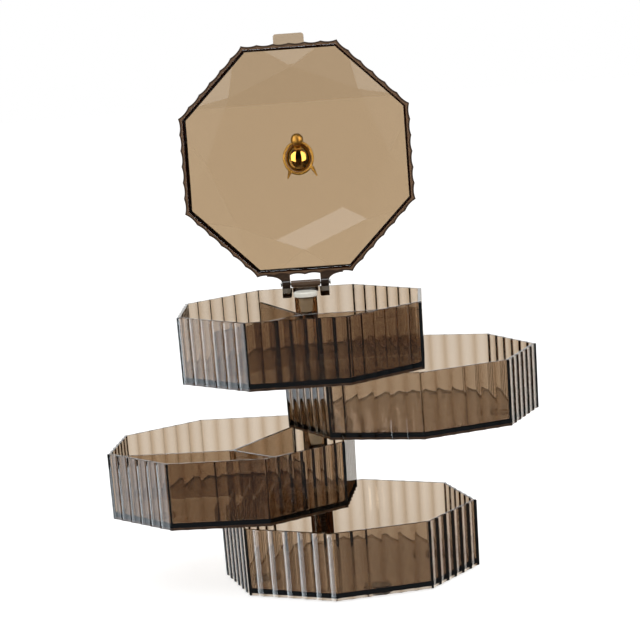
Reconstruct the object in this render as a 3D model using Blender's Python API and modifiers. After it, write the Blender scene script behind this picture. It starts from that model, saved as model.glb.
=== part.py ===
"""Rotating jewelry box: four fluted octagonal trays that swing round one corner spindle.

Metres, +Z up. The spindle stands on the origin, and the photographed front faces -Y.
A tray is drawn with the spindle at its own origin and its middle out along +X, then
turned about the spindle. The lid is drawn shut on the top tray and swung open on its pin.
"""

import math

import bmesh
import bpy
from mathutils import Matrix, Vector

# Overall sizes
ACROSS_FLATS = 0.125          # ridge to ridge over a tray's rim
TRAY_HEIGHT = 0.0348
TRAY_GAP = 0.0014             # air between one tray's rim and the foot of the next
HUB_INSET = 0.0059            # spindle axis, in from the tray's outer side
FIT_GAP = 0.0003              # clearance between pieces that touch
CUT_OVERRUN = 0.001           # how far a cutter runs past the face that it opens
SIDES = 8
TRAYS = 4

# Pose in the photograph, in degrees about the spindle, from the base tray up
BASE_TURN = -75.9
LOWER_TURN = -141.7
UPPER_TURN = -20.7
TOP_TURN = -92.9
LID_OPEN = 93.0

# Tray shell
WALL = 0.002
FLOOR = 0.0022
DRAFT = 0.0006                # each side leans in by this much from rim to foot
FLUTES_PER_SIDE = 6
FLUTE_DEPTH = 0.00075
SIDE_BOW = 0.0001             # a side's middle ridge stands this far proud of its corners
FLUTE_STEPS = 4               # straight runs in one cove
FOOT_RIM_HEIGHT = 0.0013      # the floor is held this far above the wall's lower edge
FOOT_RIM_WIDTH = 0.0017
GATE_MARK_RADIUS = 0.0009     # moulding mark in the middle of the floor
GATE_MARK_DEPTH = 0.0005

# Hub of a tray
HUB_RADIUS = 0.006
HUB_RECESS = 0.0046           # hub top, below the rim
HUB_BORE_RADIUS = 0.0024

# Ring seats under the floor, and the pads in the base tray's seats
SEAT_CIRCLE = 0.050           # seat centres, out from the tray's middle
SEAT_RING_WALL = 0.0012
PAD_RADIUS = 0.005
PAD_PROUD = 0.001             # pads lift the base tray off the table
PAD_ROUNDING = 0.0004

# Spindle, and the ivory bushes and cap that the hubs turn on
ROD_RADIUS = 0.002
ROD_HEAD_RADIUS = 0.0045
ROD_HEAD_THICKNESS = 0.0016
FLANGE_RADIUS = 0.0064
FLANGE_THICKNESS = 0.0027
FLANGE_ROUNDING = 0.0009
SHANK_TOP_RADIUS = 0.00385
SHANK_TIP_RADIUS = 0.0030
SHANK_LENGTH = 0.0082
SHANK_TIP_ROUNDING = 0.0016

# Divider insert, with one arm to a corner and two arms square to sides
DIVIDER_THICKNESS = 0.0016
DIVIDER_DROP = 0.0063         # divider's top edge, below the rim
DIVIDER_POST_RADIUS = 0.002
DIVIDER_CORNER_ARM = 202.5    # degrees, as the tray is drawn
DIVIDER_SIDE_ARMS = (-45.0, 90.0)

# Lid shell
LID_SIDE = 0.009              # height of the fluted side at the corners
LID_CROWN = 0.0055            # rise of the facets from the corners to the flat table
LID_TOP = 0.002
LID_DRAFT = 0.0003
TABLE_RADIUS_SHARE = 0.8      # table's corner radius, of the rim's apothem; corners over the sides
STAR_POINT_SHARE = 0.742      # half width of a star facet at the side, of half a side
STAR_START = 0.0001           # a star facet's point, out from the table's corner
LIP_THICKNESS = 0.001         # locating lip that drops inside the top tray
LIP_DEPTH = 0.0012
TAB_WIDTH = 0.0166
TAB_REACH = 0.005
TAB_THICKNESS = 0.0017
TAB_ROUNDING = 0.0016

# Lid hinge behind the spindle
HINGE_REACH = 0.0048          # pin axis, out from the tray's side
HINGE_RISE = 0.00135          # pin axis, above the tray's rim
PIN_RADIUS = 0.0008
PIN_HEAD_RADIUS = 0.0014
PIN_HEAD_THICKNESS = 0.0006
BARREL_LENGTH = 0.0158
BARREL_RADIUS = 0.00185
BRACKET_WIDTH = 0.0138
BRACKET_DEPTH = 0.0025        # bracket under the barrel, down from the rim
LUG_WIDTH = 0.0045
LUG_RADIUS = 0.0024
LUG_TAIL = 0.0068             # stop heel, below the pin when the lid is open
LUG_HEEL_HEIGHT = 0.0026
FLARE_LENGTH = 0.0080         # concave flare from a lug into the lid's side
FLARE_DEPTH = 0.0040
FLARE_STEPS = 6

# Knob on the lid: a polished ball in an oval ring, on one round foot and two prongs
RING_HALF_LENGTH = 0.0093
RING_HALF_WIDTH = 0.0085
RING_TUBE_RADIUS = 0.0008
RING_HEIGHT = 0.0046          # ring's middle, above the lid's table
BALL_HALF_HEIGHT = 0.0058
FOOT_BALL_RADIUS = 0.0034
PRONG_ROOT_RADIUS = 0.0011
PRONG_TIP_RADIUS = 0.0003
FOOT_REACH_SHARE = 1.08       # of the ring's half length
LEFT_PRONG_ROOT_SHARES = (-0.76, -0.58)
LEFT_PRONG_TIP_SHARES = (-1.16, -0.74)
RIGHT_PRONG_ROOT_SHARES = (-0.60, 0.84)
RIGHT_PRONG_TIP_SHARES = (-1.10, 1.14)

# Meshing: straight runs to a turn or an arc, the angles of a real edge and of a flat face in
# degrees, and the weld distance
ROUND_STEPS = 24
SMALL_ROUND_STEPS = 16
RING_STEPS = 28
TUBE_STEPS = 8
ARC_STEPS = 3
EDGE_ANGLE = 30.0
FLAT_ANGLE = 1.0
MERGE_DISTANCE = 0.000002

# Places worked out from the sizes above
HALF_SIDE_TURN = math.pi / SIDES
RIM_APOTHEM = ACROSS_FLATS / 2
MIDDLE_X = RIM_APOTHEM - HUB_INSET
STACK_PITCH = TRAY_HEIGHT + TRAY_GAP
FLOOR_TOP = FOOT_RIM_HEIGHT + FLOOR
HUB_TOP = TRAY_HEIGHT - HUB_RECESS
FLANGE_TOP = HUB_TOP + FIT_GAP + FLANGE_THICKNESS
HUB_DROP = STACK_PITCH - FLANGE_TOP - FIT_GAP
NOTCH_RADIUS = FLANGE_RADIUS + FIT_GAP
SEAT_RADIUS = PAD_RADIUS + FIT_GAP
SHANK_TIP_Z = HUB_TOP + FIT_GAP - SHANK_LENGTH
TOP_LEVEL = PAD_PROUD + (TRAYS - 1) * STACK_PITCH
PIN_X = -HUB_INSET - HINGE_REACH
PIN_Z = TRAY_HEIGHT + HINGE_RISE
LID_Z = TRAY_HEIGHT + FIT_GAP
LID_WALL = WALL + FIT_GAP + LIP_THICKNESS
LID_HEIGHT = LID_SIDE + LID_CROWN
TABLE_RADIUS = RIM_APOTHEM * TABLE_RADIUS_SHARE
STAR_POINT = RIM_APOTHEM * math.tan(HALF_SIDE_TURN) * STAR_POINT_SHARE
TABLE_Z = LID_Z + LID_HEIGHT
ROD_HEAD_Z = FOOT_RIM_HEIGHT
LUG_INNER = BARREL_LENGTH / 2 + FIT_GAP
LUG_MIDDLE = LUG_INNER + LUG_WIDTH / 2

model = bpy.data.collections.new("rotating_jewelry_box")
cutters = bpy.data.collections.new("cutters")


def clear_scene():
    """Remove what a new scene comes with."""
    for obj in list(bpy.data.objects):
        bpy.data.objects.remove(obj, do_unlink=True)
    bpy.context.scene.collection.children.link(model)
    bpy.context.scene.collection.children.link(cutters)


def material(name, colour, roughness, metallic=0.0, clear=0.0):
    """One plain finish for a sub-part."""
    finish = bpy.data.materials.new(name)
    finish.use_nodes = True
    shader = finish.node_tree.nodes["Principled BSDF"]
    shader.inputs["Base Color"].default_value = (*colour, 1.0)
    shader.inputs["Roughness"].default_value = roughness
    shader.inputs["Metallic"].default_value = metallic
    shader.inputs["Transmission Weight"].default_value = clear
    finish.diffuse_color = (*colour, 1.0)
    return finish


def tea_plastic(name):
    """Clear styrene with a tea-brown tint."""
    return material(name, (0.45, 0.33, 0.23), 0.05, clear=1.0)


def ivory_plastic(name):
    """White bearing plastic."""
    return material(name, (0.86, 0.87, 0.80), 0.35)


def steel(name):
    """Bright drawn steel."""
    return material(name, (0.60, 0.59, 0.57), 0.25, metallic=1.0)


def polished_gold(name):
    """Plated and polished knob metal."""
    return material(name, (0.83, 0.58, 0.22), 0.12, metallic=1.0)


def soft_rubber(name):
    """Grey non-slip pad."""
    return material(name, (0.42, 0.40, 0.38), 0.8)


def link(obj, collection, parent):
    """Put an object in its collection and under its parent."""
    collection.objects.link(obj)
    obj.parent = parent
    if collection is cutters:
        obj.hide_render = True
        obj.display_type = "WIRE"
    return obj


def empty(name, location, turn_axis, turn_degrees, parent=None):
    """A frame on a joint's axis."""
    frame = bpy.data.objects.new(name, None)
    frame.matrix_local = Matrix.Translation(location) @ Matrix.Rotation(
        math.radians(turn_degrees), 4, turn_axis
    )
    frame.empty_display_size = HUB_RADIUS
    return link(frame, model, parent)


def from_bmesh(name, shape, collection, parent):
    """Turn a finished bmesh into an object, smooth except at real edges."""
    bmesh.ops.recalc_face_normals(shape, faces=shape.faces)
    mesh = bpy.data.meshes.new(name)
    shape.to_mesh(mesh)
    shape.free()
    return link(bpy.data.objects.new(name, mesh), collection, parent)


def dress(obj, finish):
    """Give a sub-part its finish and its shading."""
    obj.data.materials.append(finish)
    obj.data.shade_smooth()
    obj.data.set_sharp_from_angle(angle=math.radians(EDGE_ANGLE))
    return obj


def place_along(axis, middle):
    """Matrix that stands a Z-long primitive along an axis, about its middle."""
    turns = {"Z": Matrix.Identity(4), "Y": Matrix.Rotation(math.pi / 2, 4, "X")}
    return Matrix.Translation(middle) @ turns[axis]


def add_round(name, radius, low, high, parent, centre=(0, 0), collection=cutters, tip_radius=None):
    """An upright round bar from low to high, tapered where its top has a radius of its own."""
    shape = bmesh.new()
    bmesh.ops.create_cone(
        shape, cap_ends=True, segments=ROUND_STEPS, radius1=radius,
        radius2=radius if tip_radius is None else tip_radius, depth=high - low,
        matrix=place_along("Z", Vector((*centre, (low + high) / 2))),
    )
    return from_bmesh(name, shape, collection, parent)


def add_cross_bar(name, radius, length, x, z, parent, y=0, collection=cutters):
    """A round bar along Y."""
    shape = bmesh.new()
    bmesh.ops.create_cone(
        shape, cap_ends=True, segments=ROUND_STEPS, radius1=radius, radius2=radius,
        depth=length, matrix=place_along("Y", Vector((x, y, z))),
    )
    return from_bmesh(name, shape, collection, parent)


def add_box(name, low, high, parent, collection=cutters, turn=0.0, pivot=(0, 0)):
    """A box between two corners, turned by degrees about an upright line."""
    low, high = Vector(low), Vector(high)
    about = Matrix.Translation(Vector((*pivot, 0)))
    matrix = (
        about @ Matrix.Rotation(math.radians(turn), 4, "Z") @ about.inverted()
        @ Matrix.Translation((low + high) / 2) @ Matrix.Diagonal((*(high - low), 1))
    )
    shape = bmesh.new()
    bmesh.ops.create_cube(shape, size=1.0, matrix=matrix)
    return from_bmesh(name, shape, collection, parent)


def add_octagon(name, low_apothem, high_apothem, low, high, parent, corners_to_sides=False):
    """A tapered octagon about the tray's middle, its flats on the sides or on the corners."""
    turn = 0.0 if corners_to_sides else HALF_SIDE_TURN
    middle = Vector((MIDDLE_X, 0, (low + high) / 2))
    shape = bmesh.new()
    bmesh.ops.create_cone(
        shape, cap_ends=True, segments=SIDES, radius1=low_apothem / math.cos(HALF_SIDE_TURN),
        radius2=high_apothem / math.cos(HALF_SIDE_TURN), depth=high - low,
        matrix=Matrix.Translation(middle) @ Matrix.Rotation(turn, 4, "Z"),
    )
    return from_bmesh(name, shape, cutters, parent)


def outline_prism(name, points, low, high, parent, collection=cutters, matrix=Matrix.Identity(4)):
    """A flat outline given thickness, made a closed mesh."""
    curve = bpy.data.curves.new(name, "CURVE")
    curve.dimensions = "2D"
    curve.fill_mode = "BOTH"
    curve.extrude = (high - low) / 2
    spline = curve.splines.new("POLY")
    spline.points.add(len(points) - 1)
    for spot, (x, y) in zip(spline.points, points):
        spot.co = (x, y, 0, 1)
    spline.use_cyclic_u = True
    drawn = bpy.data.objects.new(name, curve)
    bpy.context.scene.collection.objects.link(drawn)
    evaluated = drawn.evaluated_get(bpy.context.evaluated_depsgraph_get())
    mesh = bpy.data.meshes.new_from_object(evaluated)
    shape = bmesh.new()
    shape.from_mesh(mesh)
    bmesh.ops.remove_doubles(shape, verts=shape.verts, dist=MERGE_DISTANCE)
    flat = math.radians(FLAT_ANGLE)
    bmesh.ops.dissolve_limit(shape, angle_limit=flat, verts=shape.verts, edges=shape.edges)
    lift = Matrix.Translation(Vector((0, 0, (low + high) / 2)))
    bmesh.ops.transform(shape, matrix=matrix @ lift, verts=shape.verts)
    bpy.data.objects.remove(drawn, do_unlink=True)
    bpy.data.meshes.remove(mesh)
    return from_bmesh(name, shape, collection, parent)


def turned(name, profile, collection, parent, centre=(0, 0)):
    """A turned piece: its profile runs from the top of the axis, down its outer side."""
    mesh = bpy.data.meshes.new(name)
    runs = [(i, i + 1) for i in range(len(profile) - 1)]
    mesh.from_pydata([(r, 0, z) for r, z in profile], runs, [])
    obj = link(bpy.data.objects.new(name, mesh), collection, parent)
    obj.location = (*centre, 0)
    spin = obj.modifiers.new("turned", "SCREW")
    spin.steps = ROUND_STEPS
    spin.render_steps = ROUND_STEPS
    spin.use_merge_vertices = True
    spin.merge_threshold = MERGE_DISTANCE
    spin.use_smooth_shade = True
    return obj


def combine(target, tool, operation):
    """Join a tool to the target, cut it away or keep what they share."""
    step = target.modifiers.new(tool.name, "BOOLEAN")
    step.operation = operation
    step.solver = "EXACT"
    step.object = tool


def corner_arc(centre_x, centre_y, radius, start_degrees, end_degrees, steps=ARC_STEPS):
    """Points along an arc, both ends included."""
    points = []
    for step in range(steps + 1):
        angle = math.radians(start_degrees + (end_degrees - start_degrees) * step / steps)
        points.append((centre_x + radius * math.cos(angle), centre_y + radius * math.sin(angle)))
    return points


def fluted_outline(apothem):
    """The octagon's outline with its coves, six to a side, round the tray's middle."""
    half_side = apothem * math.tan(HALF_SIDE_TURN)
    cove_width = 2 * half_side / FLUTES_PER_SIDE
    half_width = cove_width / 2
    radius = (half_width ** 2 + FLUTE_DEPTH ** 2) / (2 * FLUTE_DEPTH)
    points = []
    for side in range(SIDES):
        turn = Matrix.Rotation(2 * HALF_SIDE_TURN * side, 2)
        for cove in range(FLUTES_PER_SIDE):
            for step in range(FLUTE_STEPS):
                across = cove_width * step / FLUTE_STEPS - half_width
                depth = FLUTE_DEPTH - radius + math.sqrt(radius ** 2 - across ** 2)
                along = cove_width * cove - half_side + half_width + across
                bow = SIDE_BOW * (along / half_side) ** 2
                x, y = turn @ Vector((apothem - depth - bow, along))
                points.append((MIDDLE_X + x, y))
    return points


def lean_in(obj, upright_z, leaning_z, amount):
    """Draft the sides of a prism, so that they lean in towards one end."""
    shape = bmesh.new()
    shape.from_mesh(obj.data)
    for spot in shape.verts:
        share = (spot.co.z - upright_z) / (leaning_z - upright_z)
        scale = 1 - share * amount / RIM_APOTHEM
        spot.co.x = MIDDLE_X + (spot.co.x - MIDDLE_X) * scale
        spot.co.y *= scale
    shape.to_mesh(obj.data)
    shape.free()


def seat_centres():
    """Centres of the three ring seats under a tray's floor."""
    return [
        (MIDDLE_X + SEAT_CIRCLE * math.cos(angle), SEAT_CIRCLE * math.sin(angle))
        for angle in (0, math.pi / 2, -math.pi / 2)
    ]


def build_tray(name, axis_frame, hub_drop):
    """A fluted tray with its hub, foot rim and ring seats."""
    tray = outline_prism(name, fluted_outline(RIM_APOTHEM), 0, TRAY_HEIGHT, axis_frame, model)
    lean_in(tray, TRAY_HEIGHT, 0, DRAFT)
    inner_rim = RIM_APOTHEM - WALL
    foot_apothem = RIM_APOTHEM - DRAFT
    lean_per_height = DRAFT / TRAY_HEIGHT
    inner_floor = inner_rim - lean_per_height * (TRAY_HEIGHT - FLOOR_TOP)
    inner_above = inner_rim + lean_per_height * CUT_OVERRUN
    combine(tray, add_octagon(
        name + "_cavity", inner_floor, inner_above, FLOOR_TOP, TRAY_HEIGHT + CUT_OVERRUN, axis_frame,
    ), "DIFFERENCE")
    recess = foot_apothem - FOOT_RIM_WIDTH
    combine(tray, add_octagon(
        name + "_underside", recess, recess, -CUT_OVERRUN, FOOT_RIM_HEIGHT, axis_frame,
    ), "DIFFERENCE")
    combine(tray, add_round(
        name + "_hub", HUB_RADIUS, -hub_drop, HUB_TOP + CUT_OVERRUN, axis_frame,
    ), "UNION")
    for number, centre in enumerate(seat_centres()):
        label = f"{name}_seat_{number}"
        combine(tray, add_round(
            label, SEAT_RADIUS + SEAT_RING_WALL, 0, FOOT_RIM_HEIGHT + FLOOR / 2, axis_frame, centre,
        ), "UNION")
        combine(tray, add_round(
            label + "_well", SEAT_RADIUS, -CUT_OVERRUN, FOOT_RIM_HEIGHT, axis_frame, centre,
        ), "DIFFERENCE")
    combine(tray, add_round(
        name + "_gate_mark", GATE_MARK_RADIUS, FLOOR_TOP - GATE_MARK_DEPTH, FLOOR_TOP + CUT_OVERRUN,
        axis_frame, (MIDDLE_X, 0),
    ), "DIFFERENCE")
    return dress(tray, tea_plastic(name))


def bore_hub(tray, axis_frame, hub_drop):
    """Open the hub for the flange, the shank and the rod."""
    name = tray.name
    combine(tray, add_round(
        name + "_notch", NOTCH_RADIUS, HUB_TOP, TRAY_HEIGHT + CUT_OVERRUN, axis_frame,
    ), "DIFFERENCE")
    combine(tray, add_round(
        name + "_bore", HUB_BORE_RADIUS, -hub_drop - CUT_OVERRUN, HUB_TOP + CUT_OVERRUN, axis_frame,
    ), "DIFFERENCE")
    combine(tray, add_round(
        name + "_counterbore", SHANK_TOP_RADIUS + FIT_GAP, SHANK_TIP_Z - FIT_GAP,
        HUB_TOP + CUT_OVERRUN, axis_frame,
    ), "DIFFERENCE")


def shank_profile(bore_radius):
    """Outer side of a flange and its tapered shank, ending at the bore."""
    low = HUB_TOP + FIT_GAP
    points = corner_arc(
        FLANGE_RADIUS - FLANGE_ROUNDING, FLANGE_TOP - FLANGE_ROUNDING, FLANGE_ROUNDING, 90, 0,
    )
    points += [(FLANGE_RADIUS, low), (SHANK_TOP_RADIUS, low)]
    tip_start = SHANK_TIP_Z + SHANK_TIP_ROUNDING
    points += [(SHANK_TOP_RADIUS, (low + tip_start) / 2)]
    points += [(SHANK_TIP_RADIUS, SHANK_TIP_Z), (bore_radius, SHANK_TIP_Z)]
    return points


def build_bush(name, axis_frame):
    """Flanged ivory bush, pressed into a hub, that the next tray turns on."""
    bore = ROD_RADIUS + FIT_GAP
    profile = [(bore, FLANGE_TOP)] + shank_profile(bore) + [(bore, FLANGE_TOP)]
    return dress(turned(name, profile, model, axis_frame), ivory_plastic(name))


def build_cap(name, axis_frame):
    """Closed ivory cap on the top end of the rod."""
    bore = ROD_RADIUS + FIT_GAP
    socket_top = FLANGE_TOP - FLANGE_THICKNESS / 2
    profile = [(0, FLANGE_TOP)] + shank_profile(bore) + [(bore, socket_top), (0, socket_top)]
    return dress(turned(name, profile, model, axis_frame), ivory_plastic(name))


def build_rod(name, base_frame):
    """Steel spindle rod, with its flat head in the base tray's hub."""
    socket_top = TOP_LEVEL - PAD_PROUD + FLANGE_TOP - FLANGE_THICKNESS / 2
    top = socket_top - FIT_GAP
    neck = ROD_HEAD_Z + ROD_HEAD_THICKNESS
    profile = [
        (0, top), (ROD_RADIUS, top), (ROD_RADIUS, neck), (ROD_HEAD_RADIUS, neck),
        (ROD_HEAD_RADIUS, ROD_HEAD_Z), (0, ROD_HEAD_Z),
    ]
    return dress(turned(name, profile, model, base_frame), steel(name))


def build_pad(name, base_frame, centre):
    """Round non-slip pad with a rounded lower edge."""
    top = FOOT_RIM_HEIGHT - FIT_GAP
    foot = -PAD_PROUD
    edge = corner_arc(PAD_RADIUS - PAD_ROUNDING, foot + PAD_ROUNDING, PAD_ROUNDING, 0, -90)
    profile = [(0, top), (PAD_RADIUS, top)] + edge + [(0, foot)]
    return dress(turned(name, profile, model, base_frame, centre), soft_rubber(name))


def build_divider(name, axis_frame):
    """Y-shaped insert that parts a tray into three."""
    low = FLOOR_TOP + FIT_GAP
    high = TRAY_HEIGHT - DIVIDER_DROP
    lean = DRAFT * (TRAY_HEIGHT - FLOOR_TOP) / TRAY_HEIGHT
    side_reach = RIM_APOTHEM - WALL - lean - FIT_GAP
    half = DIVIDER_THICKNESS / 2
    corner_reach = side_reach / math.cos(HALF_SIDE_TURN) - half * math.tan(HALF_SIDE_TURN)
    divider = add_round(name, DIVIDER_POST_RADIUS, low, high, axis_frame, (MIDDLE_X, 0), model)
    arms = [(DIVIDER_CORNER_ARM, corner_reach)] + [(turn, side_reach) for turn in DIVIDER_SIDE_ARMS]
    for turn, reach in arms:
        arm = add_box(
            f"{name}_arm_{turn:.0f}", (MIDDLE_X, -half, low), (MIDDLE_X + reach, half, high),
            axis_frame, turn=turn, pivot=(MIDDLE_X, 0),
        )
        combine(divider, arm, "UNION")
    return dress(divider, tea_plastic(name))


def add_barrel(tray, axis_frame):
    """Hinge barrel and its bracket on the top tray's side."""
    name = tray.name
    bracket = add_box(
        name + "_bracket", (PIN_X, -BRACKET_WIDTH / 2, TRAY_HEIGHT - BRACKET_DEPTH),
        (-HUB_INSET + WALL / 2, BRACKET_WIDTH / 2, TRAY_HEIGHT - FIT_GAP), axis_frame,
    )
    combine(tray, bracket, "UNION")
    combine(tray, add_cross_bar(
        name + "_barrel", BARREL_RADIUS, BARREL_LENGTH, PIN_X, PIN_Z, axis_frame,
    ), "UNION")
    combine(tray, add_cross_bar(
        name + "_pin_hole", PIN_RADIUS + FIT_GAP, BARREL_LENGTH + CUT_OVERRUN, PIN_X, PIN_Z, axis_frame,
    ), "DIFFERENCE")


def crown_cutters(name, table_z, foot_z, frame):
    """Two tapered octagons whose overlap is the faceted crown, drawn down to foot_z."""
    table_apothem = TABLE_RADIUS * math.cos(HALF_SIDE_TURN)
    main_slope = LID_CROWN / (RIM_APOTHEM / math.cos(HALF_SIDE_TURN) - table_apothem)
    point_run = (
        RIM_APOTHEM * math.cos(HALF_SIDE_TURN) + STAR_POINT * math.sin(HALF_SIDE_TURN) - table_apothem
    )
    star_slope = main_slope * point_run / (RIM_APOTHEM - TABLE_RADIUS)
    drop = table_z - foot_z
    main = add_octagon(
        name + "_main_facets", table_apothem + drop / main_slope, table_apothem,
        foot_z, table_z, frame, corners_to_sides=True,
    )
    star_radius = TABLE_RADIUS + STAR_START
    star = add_octagon(
        name + "_star_facets", star_radius + drop / star_slope, star_radius, foot_z, table_z, frame,
    )
    return main, star


def lug_tail_outline():
    """Side outline of a lug's stop heel, drawn as (x, z) from the pin with the lid shut."""
    wall_face = HINGE_REACH - FIT_GAP
    open_points = [
        (wall_face, -LUG_TAIL), (wall_face, LUG_HEEL_HEIGHT - LUG_TAIL),
        (0, 0), (-LUG_RADIUS, 0), (wall_face - LUG_HEEL_HEIGHT, -LUG_TAIL),
    ]
    shut = Matrix.Rotation(math.radians(-LID_OPEN), 2)
    return [tuple(shut @ Vector(spot)) for spot in open_points]


def flare_outline(side):
    """Plan outline of a lug with its concave flare into the lid's side."""
    inner = LUG_INNER
    outer = LUG_INNER + LUG_WIDTH
    start_x = PIN_X + HINGE_REACH - FLARE_DEPTH
    root_x = -HUB_INSET + WALL
    points = [(root_x, inner), (PIN_X, inner), (PIN_X, outer)]
    for step in range(FLARE_STEPS + 1):
        angle = math.pi / 2 * step / FLARE_STEPS
        points.append((
            start_x + FLARE_DEPTH * math.sin(angle),
            outer + FLARE_LENGTH * (1 - math.cos(angle)),
        ))
    points.append((root_x, outer + FLARE_LENGTH))
    return [(x, y * side) for x, y in points]


def add_lugs(lid, frame):
    """The two hinge lugs with their flares and stop heels, joined to the lid."""
    to_side = Matrix.Rotation(math.pi / 2, 4, "X")
    for side, label in ((-1, "left"), (1, "right")):
        name = f"lid_lug_{label}"
        flare = outline_prism(
            name + "_flare", flare_outline(side), LID_Z + FIT_GAP, PIN_Z + LUG_RADIUS, frame,
        )
        combine(lid, flare, "UNION")
        combine(lid, add_cross_bar(
            name + "_eye", LUG_RADIUS, LUG_WIDTH, PIN_X, PIN_Z, frame, side * LUG_MIDDLE,
        ), "UNION")
        place = Matrix.Translation(Vector((PIN_X, side * LUG_MIDDLE, PIN_Z)))
        tail = outline_prism(
            name + "_tail", lug_tail_outline(), -LUG_WIDTH / 2, LUG_WIDTH / 2, frame,
            matrix=place @ to_side,
        )
        combine(lid, tail, "UNION")
    combine(lid, add_cross_bar(
        "lid_pin_hole", PIN_RADIUS + FIT_GAP, 2 * (LUG_INNER + LUG_WIDTH + CUT_OVERRUN),
        PIN_X, PIN_Z, frame,
    ), "DIFFERENCE")


def tab_outline():
    """Plan outline of the lifting tab, with rounded outer corners."""
    root = MIDDLE_X + RIM_APOTHEM - LID_WALL / 2
    tip = MIDDLE_X + RIM_APOTHEM + TAB_REACH
    half = TAB_WIDTH / 2
    middle = tip - TAB_ROUNDING
    upper = corner_arc(middle, half - TAB_ROUNDING, TAB_ROUNDING, 0, 90)
    lower = corner_arc(middle, TAB_ROUNDING - half, TAB_ROUNDING, -90, 0)
    return [(root, -half)] + lower + upper + [(root, half)]


def build_lid(name, frame):
    """The fluted lid with its faceted crown, lip, tab and hinge lugs."""
    lid = outline_prism(name, fluted_outline(RIM_APOTHEM), LID_Z, TABLE_Z, frame, model)
    lean_in(lid, LID_Z, TABLE_Z, LID_DRAFT)
    foot = LID_Z - LIP_DEPTH - CUT_OVERRUN
    for tool in crown_cutters(name, TABLE_Z, foot, frame):
        combine(lid, tool, "INTERSECT")
    lip_outer = RIM_APOTHEM - WALL - FIT_GAP
    combine(lid, add_octagon(
        name + "_lip", lip_outer, lip_outer, LID_Z - LIP_DEPTH, LID_Z + LIP_DEPTH, frame,
    ), "UNION")
    cavity_apothem = RIM_APOTHEM - LID_WALL
    cavity = add_octagon(
        name + "_cavity", cavity_apothem, cavity_apothem - LID_DRAFT, foot, TABLE_Z - LID_TOP, frame,
    )
    for tool in crown_cutters(name + "_cavity", TABLE_Z - LID_TOP, foot, frame):
        combine(cavity, tool, "INTERSECT")
    combine(lid, cavity, "DIFFERENCE")
    combine(lid, outline_prism(
        name + "_tab", tab_outline(), LID_Z + FIT_GAP, LID_Z + TAB_THICKNESS, frame,
    ), "UNION")
    add_lugs(lid, frame)
    return dress(lid, tea_plastic(name))


def build_pin(name, frame):
    """Steel hinge pin with a small head at each end."""
    length = 2 * (LUG_INNER + LUG_WIDTH) + 2 * FIT_GAP
    pin = add_cross_bar(name, PIN_RADIUS, length + PIN_HEAD_THICKNESS, PIN_X, PIN_Z, frame, 0, model)
    for side, label in ((-1, "left"), (1, "right")):
        middle = side * (length + PIN_HEAD_THICKNESS) / 2
        combine(pin, add_cross_bar(
            f"{name}_{label}_head", PIN_HEAD_RADIUS, PIN_HEAD_THICKNESS, PIN_X, PIN_Z, frame, middle,
        ), "UNION")
    return dress(pin, steel(name))


def build_ring(name, frame):
    """Oval knob ring with its round foot and two prongs standing on the lid."""
    bpy.ops.mesh.primitive_torus_add(
        major_segments=RING_STEPS, minor_segments=TUBE_STEPS,
        major_radius=RING_HALF_WIDTH - RING_TUBE_RADIUS, minor_radius=RING_TUBE_RADIUS,
    )
    ring = bpy.context.object
    ring.name = name
    stretch = (RING_HALF_LENGTH - RING_TUBE_RADIUS) / (RING_HALF_WIDTH - RING_TUBE_RADIUS)
    ring.data.transform(Matrix.Diagonal((stretch, 1, 1, 1)))
    ring.data.transform(Matrix.Translation(Vector((MIDDLE_X, 0, TABLE_Z + RING_HEIGHT))))
    for collection in ring.users_collection:
        collection.objects.unlink(ring)
    link(ring, model, frame)
    add_round_foot(ring, frame)
    prongs = (
        ("left", LEFT_PRONG_ROOT_SHARES, LEFT_PRONG_TIP_SHARES),
        ("right", RIGHT_PRONG_ROOT_SHARES, RIGHT_PRONG_TIP_SHARES),
    )
    for label, root_shares, tip_shares in prongs:
        add_prong(ring, f"{name}_{label}_prong", root_shares, tip_shares, frame)
    return dress(ring, polished_gold(name))


def add_round_foot(ring, frame):
    """The ball-shaped foot at the front of the ring, cut flat where it stands."""
    foot_x = MIDDLE_X + RING_HALF_LENGTH * FOOT_REACH_SHARE
    base = TABLE_Z + FIT_GAP
    shape = bmesh.new()
    bmesh.ops.create_uvsphere(
        shape, u_segments=SMALL_ROUND_STEPS, v_segments=SMALL_ROUND_STEPS // 2, radius=FOOT_BALL_RADIUS,
        matrix=Matrix.Translation(Vector((foot_x, 0, base + FOOT_BALL_RADIUS / 2))),
    )
    combine(ring, from_bmesh(ring.name + "_foot", shape, cutters, frame), "UNION")
    reach = 2 * RING_HALF_LENGTH
    combine(ring, add_box(
        ring.name + "_foot_plane", (MIDDLE_X - reach, -reach, base - RING_HALF_LENGTH),
        (MIDDLE_X + reach, reach, base), frame,
    ), "DIFFERENCE")


def add_prong(ring, name, root_shares, tip_shares, frame):
    """A tapered prong from the ring down to the lid."""
    root = Vector((
        MIDDLE_X + RING_HALF_LENGTH * root_shares[0], RING_HALF_WIDTH * root_shares[1],
        TABLE_Z + RING_HEIGHT,
    ))
    tip = Vector((
        MIDDLE_X + RING_HALF_LENGTH * tip_shares[0], RING_HALF_WIDTH * tip_shares[1],
        TABLE_Z + FIT_GAP + PRONG_TIP_RADIUS,
    ))
    run = tip - root
    stand = run.to_track_quat("Z", "Y").to_matrix().to_4x4()
    shape = bmesh.new()
    bmesh.ops.create_cone(
        shape, cap_ends=True, segments=SMALL_ROUND_STEPS, radius1=PRONG_ROOT_RADIUS,
        radius2=PRONG_TIP_RADIUS, depth=run.length,
        matrix=Matrix.Translation((root + tip) / 2) @ stand,
    )
    combine(ring, from_bmesh(name, shape, cutters, frame), "UNION")


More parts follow.
